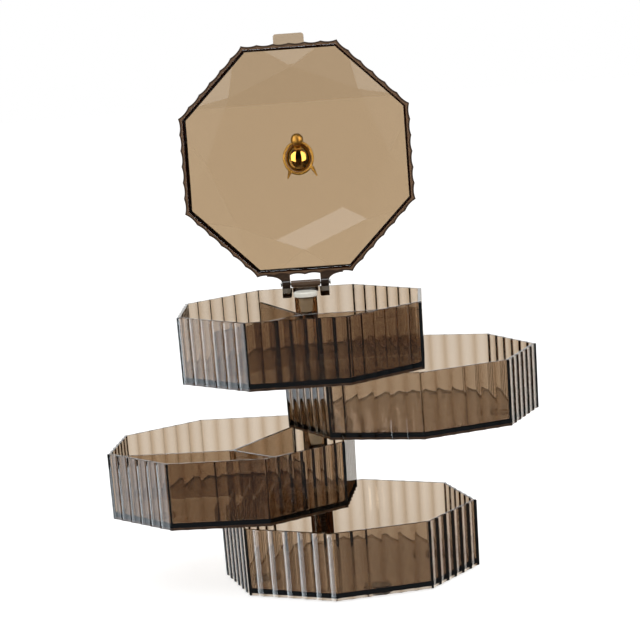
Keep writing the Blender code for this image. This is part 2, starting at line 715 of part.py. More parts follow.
def build_ball(name, frame):
    """The knob's polished oval ball, seated in the ring."""
    shape = bmesh.new()
    bmesh.ops.create_uvsphere(shape, u_segments=RING_STEPS, v_segments=RING_STEPS // 2, radius=1.0)
    half_length = RING_HALF_LENGTH - 2 * RING_TUBE_RADIUS - FIT_GAP
    half_width = RING_HALF_WIDTH - 2 * RING_TUBE_RADIUS - FIT_GAP
    size = Matrix.Diagonal((half_length, half_width, BALL_HALF_HEIGHT, 1))
    middle_z = TABLE_Z + FIT_GAP + BALL_HALF_HEIGHT
    place = Matrix.Translation(Vector((MIDDLE_X, 0, middle_z)))
    bmesh.ops.transform(shape, matrix=place @ size, verts=shape.verts)
    return dress(from_bmesh(name, shape, model, frame), polished_gold(name))


def main():
    """Stack the trays on the spindle and hang the lid on the top one."""
    clear_scene()
    levels = (
        ("tray_4", BASE_TURN, 0), ("tray_3", LOWER_TURN, HUB_DROP),
        ("tray_2", UPPER_TURN, HUB_DROP), ("tray_1", TOP_TURN, HUB_DROP),
    )
    frames = {}
    for level, (name, turn, drop) in enumerate(levels):
        height = PAD_PROUD + level * STACK_PITCH
        frame = empty(name + "_axis", Vector((0, 0, height)), "Z", turn)
        frames[name] = frame
        tray = build_tray(name, frame, drop)
        if name == "tray_1":
            add_barrel(tray, frame)
        bore_hub(tray, frame, drop)
        if name == "tray_4":
            combine(tray, add_round(
                "hub_pad_seat", SEAT_RADIUS, -CUT_OVERRUN, ROD_HEAD_Z + ROD_HEAD_THICKNESS + FIT_GAP, frame,
            ), "DIFFERENCE")
    base = frames["tray_4"]
    build_bush("hub_bush_4", base)
    build_bush("hub_bush_3", frames["tray_3"])
    build_bush("hub_bush_2", frames["tray_2"])
    build_cap("spindle_cap", frames["tray_1"])
    build_rod("spindle_rod", base)
    build_pad("hub_pad", base, (0, 0))
    for number, centre in enumerate(seat_centres(), start=1):
        build_pad(f"foot_pad_{number}", base, centre)
    build_divider("divider_3", frames["tray_3"])
    build_divider("divider_1", frames["tray_1"])
    hinge = empty("lid_hinge", Vector((PIN_X, 0, PIN_Z)), "Y", -LID_OPEN, frames["tray_1"])
    shut = empty("lid_shut_frame", Vector((-PIN_X, 0, -PIN_Z)), "Z", 0, hinge)
    build_lid("lid_shell", shut)
    build_pin("hinge_pin", shut)
    build_ring("knob_ring", shut)
    build_ball("knob_ball", shut)


main()
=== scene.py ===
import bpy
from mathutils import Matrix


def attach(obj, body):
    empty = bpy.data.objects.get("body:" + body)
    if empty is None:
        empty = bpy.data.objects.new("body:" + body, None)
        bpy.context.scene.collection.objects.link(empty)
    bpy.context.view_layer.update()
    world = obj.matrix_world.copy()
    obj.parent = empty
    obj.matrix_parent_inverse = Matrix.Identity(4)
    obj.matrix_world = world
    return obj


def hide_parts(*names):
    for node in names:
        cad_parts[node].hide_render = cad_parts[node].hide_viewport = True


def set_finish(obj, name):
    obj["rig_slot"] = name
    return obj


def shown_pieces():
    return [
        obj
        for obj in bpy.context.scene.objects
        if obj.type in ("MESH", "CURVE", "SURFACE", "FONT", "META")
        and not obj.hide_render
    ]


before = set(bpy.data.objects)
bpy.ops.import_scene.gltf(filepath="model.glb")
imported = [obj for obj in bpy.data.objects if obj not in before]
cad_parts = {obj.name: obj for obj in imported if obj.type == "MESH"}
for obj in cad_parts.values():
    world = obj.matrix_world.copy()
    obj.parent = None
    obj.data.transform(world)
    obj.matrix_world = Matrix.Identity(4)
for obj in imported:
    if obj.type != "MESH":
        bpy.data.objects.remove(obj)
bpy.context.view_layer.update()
print("nodes:", ", ".join(sorted(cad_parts)))

# %% [markdown]
# Everything is in metres, so a tray wall of 2 mm is written as 2 * MM. The sizes are the same
# ones that the plain source uses, and the places that follow from them are worked out here.
# The spindle stands on the origin. Each tray is drawn with the spindle at the origin and the
# tray's middle out along +X, and is then turned and lifted to its place.
# %% Sizes of the box
import math

import bmesh
import bpy
from mathutils import Matrix, Vector

MM = 0.001
SIDES = 8
CORNER = math.pi / SIDES                 # half of the turn from one side to the next
RIM = 62.5 * MM                          # from a tray's middle to a side, at the rim
TRAY_HEIGHT = 34.8 * MM
STACK_PITCH = 36.2 * MM
HUB_INSET = 5.9 * MM
MIDDLE_X = RIM - HUB_INSET
WALL = 2.0 * MM
DRAFT = 0.6 * MM
FOOT_RIM_HEIGHT = 1.3 * MM
FOOT_RIM_WIDTH = 1.7 * MM
FLOOR_TOP = FOOT_RIM_HEIGHT + 2.2 * MM
FIT_GAP = 0.3 * MM
PAD_PROUD = 1.0 * MM
FLUTES = 6
FLUTE_DEPTH = 0.75 * MM
HUB_RADIUS = 6.0 * MM
HUB_TOP = 30.2 * MM
HUB_DROP = 2.7 * MM
FLANGE_TOP = 33.2 * MM
SHANK_TIP = 22.3 * MM
TOP_LEVEL = PAD_PROUD + 3 * STACK_PITCH
print(f"rim to rim {2 * RIM / MM:.0f} mm, top tray's foot at {TOP_LEVEL / MM:.1f} mm")

# %% [markdown]
# Each level of the stack has its own turn about the spindle, measured in the photograph. A
# level's matrix carries a piece from where it is drawn to where it stands. The lid is drawn
# shut on the top tray and swung open about the hinge pin.
# %% Where each level stands
TURNS = {"tray_4": -75.9, "tray_3": -141.7, "tray_2": -20.7, "tray_1": -92.9}
HINGE_REACH = 4.8 * MM                   # from the lid's side to the hinge pin
PIN_X = -HUB_INSET - HINGE_REACH
PIN_Z = TRAY_HEIGHT + 1.35 * MM
LID_OPEN = 93.0


def level_place(tray):
    """The matrix that stands a tray on its level, at its turn."""
    level = ("tray_4", "tray_3", "tray_2", "tray_1").index(tray)
    lift = Matrix.Translation((0, 0, PAD_PROUD + level * STACK_PITCH))
    return lift @ Matrix.Rotation(math.radians(TURNS[tray]), 4, "Z")


def lid_place():
    """The matrix that opens the lid from its shut place on the top tray."""
    pin = Matrix.Translation((PIN_X, 0, PIN_Z))
    swing = pin @ Matrix.Rotation(math.radians(-LID_OPEN), 4, "Y") @ pin.inverted()
    return level_place("tray_1") @ swing


print("lid's table faces", (lid_place().to_3x3() @ Vector((0, 0, 1))).to_tuple(2))

# %% [markdown]
# Blender's operators act on whatever is selected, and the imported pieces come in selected. So
# every step starts from nothing selected, and takes hold of one piece. These few helpers do
# what the mouse does: pick one object, go into edit mode, select edges or faces by a test, put
# a finished piece where it belongs.
# %% Hands for the work
def nothing_selected():
    """Deselect every object."""
    bpy.ops.object.select_all(action="DESELECT")


def hold(piece):
    """Select one object and nothing else."""
    nothing_selected()
    piece.select_set(True)
    bpy.context.view_layer.objects.active = piece


def start_edit(piece, kind="VERT", action="DESELECT"):
    """Go into edit mode on one object, with nothing or all of it selected."""
    hold(piece)
    bpy.ops.object.mode_set(mode="EDIT")
    bpy.ops.mesh.select_mode(type=kind)
    bpy.ops.mesh.select_all(action=action)


def end_edit():
    """Come back to object mode."""
    bpy.ops.object.mode_set(mode="OBJECT")


def select_where(piece, kind, test):
    """Add to the selection the edges or faces that pass a test."""
    shape = bmesh.from_edit_mesh(piece.data)
    for item in getattr(shape, kind):
        if test(item):
            item.select_set(True)
    shape.select_flush_mode()
    bmesh.update_edit_mesh(piece.data)


def named(name):
    """Name the new object and settle its place into its mesh."""
    piece = bpy.context.object
    piece.name = name
    piece.data.name = name
    bpy.ops.object.transform_apply(location=True, rotation=True, scale=True)
    return piece


def settle(piece, place):
    """Move a finished piece by a matrix, and keep the place in its mesh."""
    hold(piece)
    piece.matrix_world = place
    bpy.ops.object.transform_apply(location=True, rotation=True, scale=True)
    return piece


print("hands ready")

# %% [markdown]
# A tray's outline is an octagon, and each of its sides is pressed into six shallow coves. A
# wall starts as a flat circle of points, laid on the outline by their numbers, and is drawn
# up by extruding: each new ring keeps its numbers, so it can be laid on its own outline,
# coved outside and plain inside. The points gather towards the ridges, because a ridge is
# what catches the light, and each is then eased towards its neighbours. That takes the razor
# edge off the ridges, as polishing the mould does.
# %% Coved and plain rings
COVE_POINTS = 12
SIDE_POINTS = FLUTES * COVE_POINTS
RING_POINTS = SIDES * SIDE_POINTS


def outline(apothem, coved):
    """Plan of a ring, point by point from one corner round, with its ridges eased."""
    half_side = apothem * math.tan(CORNER)
    width = 2 * half_side / FLUTES
    radius = (width ** 2 / 4 + FLUTE_DEPTH ** 2) / (2 * FLUTE_DEPTH)
    points = []
    for number in range(RING_POINTS):
        side, place = divmod(number, SIDE_POINTS)
        cove, step = divmod(place, COVE_POINTS)
        across = -math.cos(math.pi * step / COVE_POINTS) * width / 2
        depth = FLUTE_DEPTH - radius + math.sqrt(radius ** 2 - across ** 2) if coved else 0
        along = (cove + 0.5) * width - half_side + across
        turn = Matrix.Rotation(2 * CORNER * side, 2)
        points.append(turn @ Vector((apothem - depth, along)))
    points = [
        (points[number - 1] + 2 * spot + points[(number + 1) % RING_POINTS]) / 4
        for number, spot in enumerate(points)
    ]
    return [(MIDDLE_X + spot.x, spot.y) for spot in points]


def lay_ring(piece, apothem, z, coved):
    """Lay the selected ring's points on an outline, by their numbers."""
    shape = bmesh.from_edit_mesh(piece.data)
    number = shape.verts.layers.int["number"]
    plan = outline(apothem, coved)
    for spot in shape.verts:
        if spot.select:
            spot.co = (*plan[spot[number]], z)
    bmesh.update_edit_mesh(piece.data)


def draw_wall(name, profile):
    """Extrude a ring along a profile of (apothem, height, coved) steps, closed at both ends."""
    apothem, z, coved = profile[0]
    nothing_selected()
    bpy.ops.mesh.primitive_circle_add(
        vertices=RING_POINTS, radius=apothem, fill_type="NGON", location=(MIDDLE_X, 0, z)
    )
    wall = named(name)
    numbers = wall.data.attributes.new("number", "INT", "POINT")
    for spot, item in zip(wall.data.vertices, numbers.data):
        angle = math.atan2(spot.co.y, spot.co.x - MIDDLE_X) + CORNER
        item.value = round(angle / (2 * math.pi) * RING_POINTS) % RING_POINTS
    start_edit(wall, "FACE", "SELECT")
    lay_ring(wall, apothem, z, coved)
    for apothem, next_z, coved in profile[1:]:
        bpy.ops.mesh.extrude_region_move(
            TRANSFORM_OT_translate={"value": (0, 0, next_z - z)}
        )
        z = next_z
        lay_ring(wall, apothem, z, coved)
    close_shell(wall)
    wall.data.attributes.remove(wall.data.attributes["number"])
    return wall


def close_shell(piece):
    """Merge what coincides and turn every face outwards."""
    bpy.ops.mesh.select_all(action="SELECT")
    bpy.ops.mesh.remove_doubles(threshold=0.001 * MM)
    bpy.ops.mesh.normals_make_consistent(inside=False)
    shape = bmesh.from_edit_mesh(piece.data)
    open_edges = sum(1 for edge in shape.edges if len(edge.link_faces) != 2)
    print(f"{piece.name}: {len(shape.faces)} faces, {open_edges} open edges")
    end_edit()
    return piece


print("points in a ring:", RING_POINTS)

# %% [markdown]
# Wherever moulded plastic turns a corner it has a small radius. A path whose corners carry a
# radius, eased into short straight runs, gives the profile of each wall and of each turned
# piece. The path is open or closed.
# %% Paths with eased corners
def eased(corners, closed=False, steps=4):
    """Points of a path of (x, y, radius) corners, each corner rounded by its radius."""
    points = []
    last = len(corners) - 1
    for number, (x, y, radius) in enumerate(corners):
        here = Vector((x, y))
        if radius == 0 or (not closed and number in (0, last)):
            points.append((x, y))
            continue
        before = (Vector(corners[number - 1][:2]) - here).normalized()
        after = (Vector(corners[(number + 1) % len(corners)][:2]) - here).normalized()
        half = before.angle(after) / 2
        centre = here + (before + after).normalized() * (radius / math.sin(half))
        start = here + before * (radius / math.tan(half)) - centre
        turn = start.angle_signed(here + after * (radius / math.tan(half)) - centre)
        for step in range(steps + 1):
            spoke = Matrix.Rotation(-turn * step / steps, 2) @ start
            points.append((centre.x + spoke.x, centre.y + spoke.y))
    return points


print("an eased square corner:", [(round(x, 2), round(y, 2)) for x, y in
                                 eased([(0, 1, 0), (0, 0, 0.3), (1, 0, 0)])])

# %% [markdown]
# Bushes, rod, pads, seats and hub are all round about an upright line. By hand: one point,
# extruded from corner to corner of the profile, and the whole line spun round its axis.
# %% Turned pieces
TURN_STEPS = 64


def turned(name, profile, centre=(0, 0), steps=TURN_STEPS):
    """Spin a profile of (radius, height) points round an upright axis."""
    nothing_selected()
    bpy.ops.mesh.primitive_plane_add(
        size=MM, location=(centre[0] + profile[0][0], centre[1], profile[0][1])
    )
    piece = named(name)
    start_edit(piece, action="SELECT")
    bpy.ops.mesh.merge(type="CENTER")
    for (radius, z), (next_radius, next_z) in zip(profile, profile[1:]):
        bpy.ops.mesh.extrude_vertices_move(
            TRANSFORM_OT_translate={"value": (next_radius - radius, 0, next_z - z)}
        )
    bpy.ops.mesh.select_all(action="SELECT")
    bpy.ops.mesh.spin(
        steps=steps, angle=2 * math.pi, center=(*centre, 0), axis=(0, 0, 1), dupli=False
    )
    return close_shell(piece)


def joined(name, pieces):
    """Join separate pieces into one object."""
    hold(pieces[0])
    for piece in pieces[1:]:
        piece.select_set(True)
    bpy.ops.object.join()
    pieces[0].name = name
    return pieces[0]


def combine(target, tool, operation):
    """Add a tool's shape to a piece, or cut it away, and put the tool aside for good."""
    hold(target)
    step = target.modifiers.new(tool.name, "BOOLEAN")
    step.operation = operation
    step.solver = "EXACT"
    step.object = tool
    bpy.ops.object.modifier_apply(modifier=step.name)
    bpy.data.objects.remove(tool, do_unlink=True)


print("a full turn is spun in", TURN_STEPS, "steps")

# %% [markdown]
# The tray shell is one unbroken wall: out of the underside's recess, round the foot rim, up
# the coved outer face, over the rim, and down the plain inner face to the floor. The sides
# lean in a little towards the foot, as a moulded box must to leave its mould.
# %% The tray shell
def build_shell(name):
    """A fluted tray without its hub and seats."""
    foot = RIM - DRAFT
    inner = RIM - WALL
    inner_floor = inner - DRAFT * (TRAY_HEIGHT - FLOOR_TOP) / TRAY_HEIGHT
    recess = foot - FOOT_RIM_WIDTH
    return draw_wall(name, [
        (recess - 0.3 * MM, FOOT_RIM_HEIGHT, False),
        (recess - 0.1 * MM, FOOT_RIM_HEIGHT - 0.1 * MM, False),
        (recess, FOOT_RIM_HEIGHT - 0.3 * MM, False),
        (recess, 0.2 * MM, False),
        (recess + 0.05 * MM, 0.05 * MM, False),
        (recess + 0.2 * MM, 0, False),
        (foot - 0.25 * MM, 0, True),
        (foot - 0.07 * MM, 0.07 * MM, True),
        (foot, 0.25 * MM, True),
        (RIM, TRAY_HEIGHT - 0.35 * MM, True),
        (RIM - 0.1 * MM, TRAY_HEIGHT - 0.1 * MM, True),
        (RIM - 0.35 * MM, TRAY_HEIGHT, True),
        (inner + 0.3 * MM, TRAY_HEIGHT, False),
        (inner + 0.08 * MM, TRAY_HEIGHT - 0.08 * MM, False),
        (inner, TRAY_HEIGHT - 0.3 * MM, False),
        (inner_floor, FLOOR_TOP + 0.7 * MM, False),
        (inner_floor - 0.2 * MM, FLOOR_TOP + 0.2 * MM, False),
        (inner_floor - 0.7 * MM, FLOOR_TOP, False),
    ])


plain_tray = build_shell("plain_tray")

# %% [markdown]
# A round hub stands at the middle of one side, and three ring seats hang under the floor.
# They are turned, joined into one tool and added in one step. The openings are cut in one
# step too: the notch that clears the bush above the hub, the stepped bore, the wells of the
# seats and the gate mark that the moulding machine leaves in the middle of the floor.
# %% Hub, seats and their openings
SEAT_CIRCLE = 50 * MM
SEAT_RADIUS = 5.3 * MM
NOTCH_RADIUS = 6.7 * MM
SHANK_BORE = 4.15 * MM
SHANK_SEAT = 22 * MM
ROD_BORE = 2.4 * MM
GATE_MARK = 0.9 * MM
SEATS = [(MIDDLE_X + SEAT_CIRCLE * math.cos(a), SEAT_CIRCLE * math.sin(a))
         for a in (0, math.pi / 2, -math.pi / 2)]


def add_hub_and_seats(tray, drop):
    """Join a hub and three seat rings to a tray."""
    top = HUB_TOP + 1 * MM
    tools = [turned("hub", eased([
        (0, top, 0), (HUB_RADIUS, top, 0), (HUB_RADIUS, -drop, 0.3 * MM), (0, -drop, 0),
    ]))]
    outer = SEAT_RADIUS + 1.2 * MM
    inside = FOOT_RIM_HEIGHT + 1 * MM
    for centre in SEATS:
        tools.append(turned("seat", eased([
            (0, inside, 0), (outer, inside, 0), (outer, 0, 0.25 * MM), (0, 0, 0),
        ]), centre))
    combine(tray, joined("seat_rings", tools), "UNION")


def cut_openings(tray, drop, more=()):
    """Cut the notch, the stepped bore, the seats' wells, the gate mark and any more tools."""
    over, under = TRAY_HEIGHT + 1 * MM, -drop - MM
    tools = [turned("bore", eased([
        (0, over, 0), (NOTCH_RADIUS, over, 0), (NOTCH_RADIUS, HUB_TOP, 0.3 * MM),
        (SHANK_BORE, HUB_TOP, 0.0), (SHANK_BORE, SHANK_SEAT, 0), (ROD_BORE, SHANK_SEAT, 0),
        (ROD_BORE, under, 0), (0, under, 0),
    ]))]
    for centre in SEATS:
        tools.append(turned("well", eased([
            (0, FOOT_RIM_HEIGHT, 0), (SEAT_RADIUS, FOOT_RIM_HEIGHT, 0.25 * MM),
            (SEAT_RADIUS, -MM, 0), (0, -MM, 0),
        ]), centre))
    tools.append(turned("gate_mark", eased([
        (0, FLOOR_TOP + MM, 0), (GATE_MARK, FLOOR_TOP + MM, 0), (GATE_MARK, FLOOR_TOP, 0),
        (GATE_MARK - 0.15 * MM, FLOOR_TOP - 0.5 * MM, 0.2 * MM), (0, FLOOR_TOP - 0.5 * MM, 0),
    ]), (MIDDLE_X, 0), 32))
    combine(tray, joined("openings", tools + list(more)), "DIFFERENCE")


def copy_of(piece, name):
    """A copy with its own mesh."""
    hold(piece)
    bpy.ops.object.duplicate(linked=False)
    copy = bpy.context.object
    copy.name = name
    copy.data.name = name
    return copy


base_tray = copy_of(plain_tray, "base_tray")
add_hub_and_seats(base_tray, 0)
cut_openings(base_tray, 0)
hung_tray = plain_tray
add_hub_and_seats(hung_tray, HUB_DROP)
print("hung tray before its bore:", len(hung_tray.data.polygons), "faces")

# %% [markdown]
# The top tray also carries the hinge barrel: a round bar behind the hub, on a bracket that
# grows out of the wall, with a hole for the pin. It is added before the bores are cut, so
# the notch above the hub runs into it as it does in one moulding.
# %% Hinge barrel on the top tray
BARREL_LENGTH = 15.8 * MM
BARREL_RADIUS = 1.85 * MM
BRACKET_HALF = 6.9 * MM
PIN_HOLE = 1.1 * MM
SMALL_STEPS = 48


def cross_bar(name, profile, y=0.0):
    """A turned bar along the hinge pin: (radius, place along it) profile, spun and laid down."""
    lay = Matrix.Translation((PIN_X, y, PIN_Z)) @ Matrix.Rotation(math.pi / 2, 4, "X")
    return settle(turned(name, profile, steps=SMALL_STEPS), lay)


def round_bar(radius, length, rounding):
    """Profile of a bar with rounded ends."""
    half = length / 2
    return eased([
        (0, half, 0), (radius, half, rounding), (radius, -half, rounding), (0, -half, 0),
    ])


def bevelled_box(name, low, high, rounding):
    """A box between two corners, with every edge bevelled."""
    low, high = Vector(low), Vector(high)
    nothing_selected()
    bpy.ops.mesh.primitive_cube_add(size=1, location=(low + high) / 2, scale=high - low)
    block = named(name)
    start_edit(block, "EDGE", "SELECT")
    bpy.ops.mesh.bevel(offset=rounding, segments=3, affect="EDGES")
    return close_shell(block)


top_tray = copy_of(hung_tray, "top_tray")
combine(top_tray, bevelled_box(
    "bracket", (PIN_X, -BRACKET_HALF, TRAY_HEIGHT - 2.5 * MM),
    (-HUB_INSET + WALL / 2, BRACKET_HALF, TRAY_HEIGHT - FIT_GAP), 0.35 * MM,
), "UNION")
barrel = cross_bar("barrel", round_bar(BARREL_RADIUS, BARREL_LENGTH, 0.25 * MM))
combine(top_tray, barrel, "UNION")
pin_hole = cross_bar("pin_hole", round_bar(PIN_HOLE, BARREL_LENGTH + 2 * MM, 0))
cut_openings(top_tray, HUB_DROP, [pin_hole])
cut_openings(hung_tray, HUB_DROP)

# %% [markdown]
# The three hung trays are the same moulding, so the finished one is copied. Each tray gets
# its own mesh, its place, and the body that it swings with. A tall flat wall ends in a very
# small rounding. Plain smooth shading would lean the whole wall towards the rounding, so the
# normals are weighted by face area: the walls stay true and only the roundings turn. The
# faces in the foot rim's recess and at the hinge get a number of painted shade, which the
# plastic's finish reads later to make them dark and less clear.
# %% Stack the trays
PIN_CLEAR = HUB_INSET + 2.2 * MM         # where the hinge part begins, behind the hub
HINGE_AND_FOOT_SHADE = 0.85                    # how dark their painted shade is, from 0 to 1


def finish_piece(piece, node, body, slot, place, smooth=30):
    """Shade a piece, put it in its place, and let it stand for its node."""
    hold(piece)
    bpy.ops.object.shade_smooth_by_angle(angle=math.radians(smooth))
    settle(piece, place)
    true_walls = piece.modifiers.new("true_walls", "WEIGHTED_NORMAL")
    true_walls.weight = 50
    true_walls.keep_sharp = True
    bpy.ops.object.modifier_apply(modifier=true_walls.name)
    piece.name = node + "_fine"
    piece.data.name = piece.name
    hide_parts(node)
    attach(piece, body)
    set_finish(piece, slot)
    size = piece.dimensions / MM
    print(f"{piece.name}: {size.x:.1f} x {size.y:.1f} x {size.z:.1f} mm on {body}")
    return piece


def mark_painted_shade_and_tint(piece, test):
    """Write down each face's painted shade and the lid's warmer tint, from its middle and its
    normal.
    """
    values = piece.data.attributes.new("edge", "FLOAT", "FACE")
    for face, item in zip(piece.data.polygons, values.data):
        item.value = test(face.center, face.normal)
    marked = sum(1 for item in values.data if item.value)
    # The count takes in every face with painted shade, and on the lid those with its tint.
    print(f"{piece.name}: {marked} unpolished faces")


def from_edge(spot):
    """How far inside the coved outer edge a spot lies."""
    width = 2 * RIM * math.tan(CORNER) / FLUTES
    apothem, along = max(
        ((spot.x - MIDDLE_X) * math.cos(a) + spot.y * math.sin(a),
         spot.y * math.cos(a) - (spot.x - MIDDLE_X) * math.sin(a))
        for a in (2 * CORNER * side for side in range(SIDES))
    )
    across = 2 * ((along / width + FLUTES / 2) % 1) - 1
    return RIM - apothem - FLUTE_DEPTH * (1 - across ** 2)


def foot_and_hinge_shade(spot, normal):
    """Painted shade for the foot rim's underside and recess, and for the hinge barrel."""
    hinge = spot.x < -PIN_CLEAR + MM and spot.z > TRAY_HEIGHT - 2.4 * MM
    below = spot.z < FOOT_RIM_HEIGHT - 0.05 * MM
    foot = below and from_edge(spot) < DRAFT + FOOT_RIM_WIDTH + MM
    return HINGE_AND_FOOT_SHADE if hinge or foot else 0


# The trays' foot rims and hinge get painted shade, dark and nearly opaque.
mark_painted_shade_and_tint(hung_tray, foot_and_hinge_shade)
mark_painted_shade_and_tint(top_tray, foot_and_hinge_shade)
trays = {
    "tray_4": (base_tray, "base"), "tray_3": (hung_tray, "lower_tray"),
    "tray_2": (copy_of(hung_tray, "tray_2"), "upper_tray"), "tray_1": (top_tray, "top_tray"),
}
clear_pieces = [
    finish_piece(tray, node, body, "tea_plastic", level_place(node))
    for node, (tray, body) in trays.items()
]

# %% [markdown]
# Two trays hold a Y-shaped insert that parts them into three. It is three thin plates and a
# round post in the middle. The plates are boxes with softened edges, swung about the tray's
# middle, and everything is joined into one moulding.
# %% Dividers
DIVIDER_LOW = FLOOR_TOP + FIT_GAP
DIVIDER_HIGH = TRAY_HEIGHT - 6.3 * MM
DIVIDER_HALF = 0.8 * MM
DIVIDER_POST = 2 * MM


def build_divider(name):
    """The Y-shaped insert, drawn in its tray."""
    lean = DRAFT * (TRAY_HEIGHT - FLOOR_TOP) / TRAY_HEIGHT
    side_reach = RIM - WALL - lean - FIT_GAP
    corner_reach = side_reach / math.cos(CORNER) - DIVIDER_HALF * math.tan(CORNER)
    divider = turned(name, eased([
        (0, DIVIDER_HIGH, 0), (DIVIDER_POST, DIVIDER_HIGH, 0.35 * MM),
        (DIVIDER_POST, DIVIDER_LOW, 0.2 * MM), (0, DIVIDER_LOW, 0),
    ]), (MIDDLE_X, 0), SMALL_STEPS)
    for degrees, reach in ((202.5, corner_reach), (-45, side_reach), (90, side_reach)):
        plate = bevelled_box(
            "plate", (MIDDLE_X, -DIVIDER_HALF, DIVIDER_LOW),
            (MIDDLE_X + reach, DIVIDER_HALF, DIVIDER_HIGH), 0.3 * MM,
        )
        middle = Matrix.Translation((MIDDLE_X, 0, 0))
        settle(plate, middle @ Matrix.Rotation(math.radians(degrees), 4, "Z") @ middle.inverted())
        combine(divider, plate, "UNION")
    return divider


divider = build_divider("divider")
for node, body, tray in (
    ("divider_1", "top_tray", "tray_1"), ("divider_3", "lower_tray", "tray_3"),
):
    clear_pieces.append(finish_piece(
        copy_of(divider, node), node, body, "tea_plastic", level_place(tray)
    ))
bpy.data.objects.remove(divider, do_unlink=True)

# %% [markdown]
# The lid is a fluted slab with a faceted crown. A gem cutter's way suits it: the block is
# drawn up ring by ring, and its top is then cut by sixteen planes, eight that face the
# corners and eight flatter ones that face the sides. Each cut is filled, so it leaves one
# clean facet. The hollow inside is cut the same way, two millimetres lower.
# %% The lid's block and its facets
LID_Z = TRAY_HEIGHT + FIT_GAP
LID_SIDE = 9 * MM
LID_CROWN = 5.5 * MM
LID_TOP = 2 * MM
LID_WALL = 3.3 * MM
LID_DRAFT = 0.3 * MM
TABLE_Z = LID_Z + LID_SIDE + LID_CROWN
TABLE_RADIUS = 0.8 * RIM
STAR_POINT = 0.742 * RIM * math.tan(CORNER)


def cut_facets(block, table_z):
    """Cut the crown's sixteen facets, down from the edge of the table."""
    table = TABLE_RADIUS * math.cos(CORNER)
    main_slope = LID_CROWN / (RIM / math.cos(CORNER) - table)
    run = RIM * math.cos(CORNER) + STAR_POINT * math.sin(CORNER) - table
    star_slope = main_slope * run / (RIM - TABLE_RADIUS)
    start_edit(block)
    for number in range(2 * SIDES):
        angle = number * CORNER
        reach, slope = (TABLE_RADIUS, star_slope) if number % 2 == 0 else (table, main_slope)
        bpy.ops.mesh.select_all(action="SELECT")
        bpy.ops.mesh.bisect(
            plane_co=(MIDDLE_X + reach * math.cos(angle), reach * math.sin(angle), table_z),
            plane_no=(slope * math.cos(angle), slope * math.sin(angle), 1),
            use_fill=True, clear_outer=True, threshold=0.0001 * MM,
        )
    return close_shell(block)


def build_lid_block():
    """The solid lid, coved outside, with the locating lip under it."""
    lip = RIM - WALL - FIT_GAP
    block = draw_wall("lid", [
        (lip - 0.2 * MM, LID_Z - 1.2 * MM, False),
        (lip, LID_Z - 1.0 * MM, False),
        (lip, LID_Z, False),
        (RIM - 0.95 * MM, LID_Z, True),
        (RIM - 0.25 * MM, LID_Z, True),
        (RIM - 0.07 * MM, LID_Z + 0.07 * MM, True),
        (RIM, LID_Z + 0.25 * MM, True),
        (RIM - LID_DRAFT, TABLE_Z, True),
    ])
    return cut_facets(block, TABLE_Z)


def build_lid_hollow():
    """The hollow of the lid, two millimetres inside the crown."""
    apothem = RIM - LID_WALL
    hollow = draw_wall("lid_hollow", [
        (apothem + 0.2 * MM, LID_Z - 2.2 * MM, False),
        (apothem + 0.2 * MM, LID_Z - 1.1 * MM, False),
        (apothem, LID_Z - 0.9 * MM, False),
        (apothem - LID_DRAFT, TABLE_Z - LID_TOP, False),
    ])
    return cut_facets(hollow, TABLE_Z - LID_TOP)


lid = build_lid_block()
combine(lid, build_lid_hollow(), "DIFFERENCE")
print("hollow lid:", len(lid.data.polygons), "faces")

# %% [markdown]
# The lifting tab and the two hinge lugs are flat outlines given thickness. An outline is a
# circle with as many points as the outline has, each moved to its place, then filled,
# extruded and bevelled round its rims. The lugs flare into the lid's side in a concave curve,
# and each has a stop heel that rests on the hub's wall when the lid is open.
# %% Tab, lugs and stop heels
LUG_INNER = BARREL_LENGTH / 2 + FIT_GAP
LUG_WIDTH = 4.5 * MM
LUG_RADIUS = 2.4 * MM
LUG_TAIL = 6.8 * MM
LUG_HEEL = 2.6 * MM
FLARE_LENGTH = 4 * MM
FLARE_SPREAD = 8 * MM
FLARE_STEPS = 16
TAB_REACH = 5 * MM
TAB_HALF = 8.3 * MM
TAB_THICK = 1.4 * MM


def cut_out(name, outline, low, high, rounding):
    """A flat outline given thickness from low to high, its rims bevelled."""
    nothing_selected()
    bpy.ops.mesh.primitive_circle_add(vertices=len(outline), radius=MM, fill_type="NGON")
    piece = named(name)
    for spot, (x, y) in zip(piece.data.vertices, outline):
        spot.co = (x, y, low)
    start_edit(piece, "FACE", "SELECT")
    bpy.ops.mesh.extrude_region_move(TRANSFORM_OT_translate={"value": (0, 0, high - low)})
    bpy.ops.mesh.select_mode(type="EDGE")
    bpy.ops.mesh.select_all(action="DESELECT")
    select_where(piece, "edges", lambda edge: abs(
        edge.verts[0].co.z - edge.verts[1].co.z) < 0.001 * MM)
    bpy.ops.mesh.bevel(offset=rounding, segments=2, affect="EDGES")
    return close_shell(piece)


def tab_outline():
    """Plan of the lifting tab, with its outer corners rounded."""
    root, tip = MIDDLE_X + RIM - LID_WALL / 2, MIDDLE_X + RIM + TAB_REACH
    return eased([
        (root, -TAB_HALF, 0), (tip, -TAB_HALF, 1.6 * MM), (tip, TAB_HALF, 1.6 * MM),
        (root, TAB_HALF, 0),
    ], closed=True, steps=8)


def flare_outline(side):
    """Plan of a lug and its concave flare into the lid's side."""
    outer = LUG_INNER + LUG_WIDTH
    start_x = PIN_X + HINGE_REACH - FLARE_LENGTH
    root_x = -HUB_INSET + WALL
    points = [(root_x, LUG_INNER), (PIN_X, LUG_INNER), (PIN_X, outer)]
    for step in range(FLARE_STEPS + 1):
        angle = math.pi / 2 * step / FLARE_STEPS
        points.append((
            start_x + FLARE_LENGTH * math.sin(angle),
            outer + FLARE_SPREAD * (1 - math.cos(angle)),
        ))
    points.append((root_x, outer + FLARE_SPREAD))
    return [(x, y * side) for x, y in points]


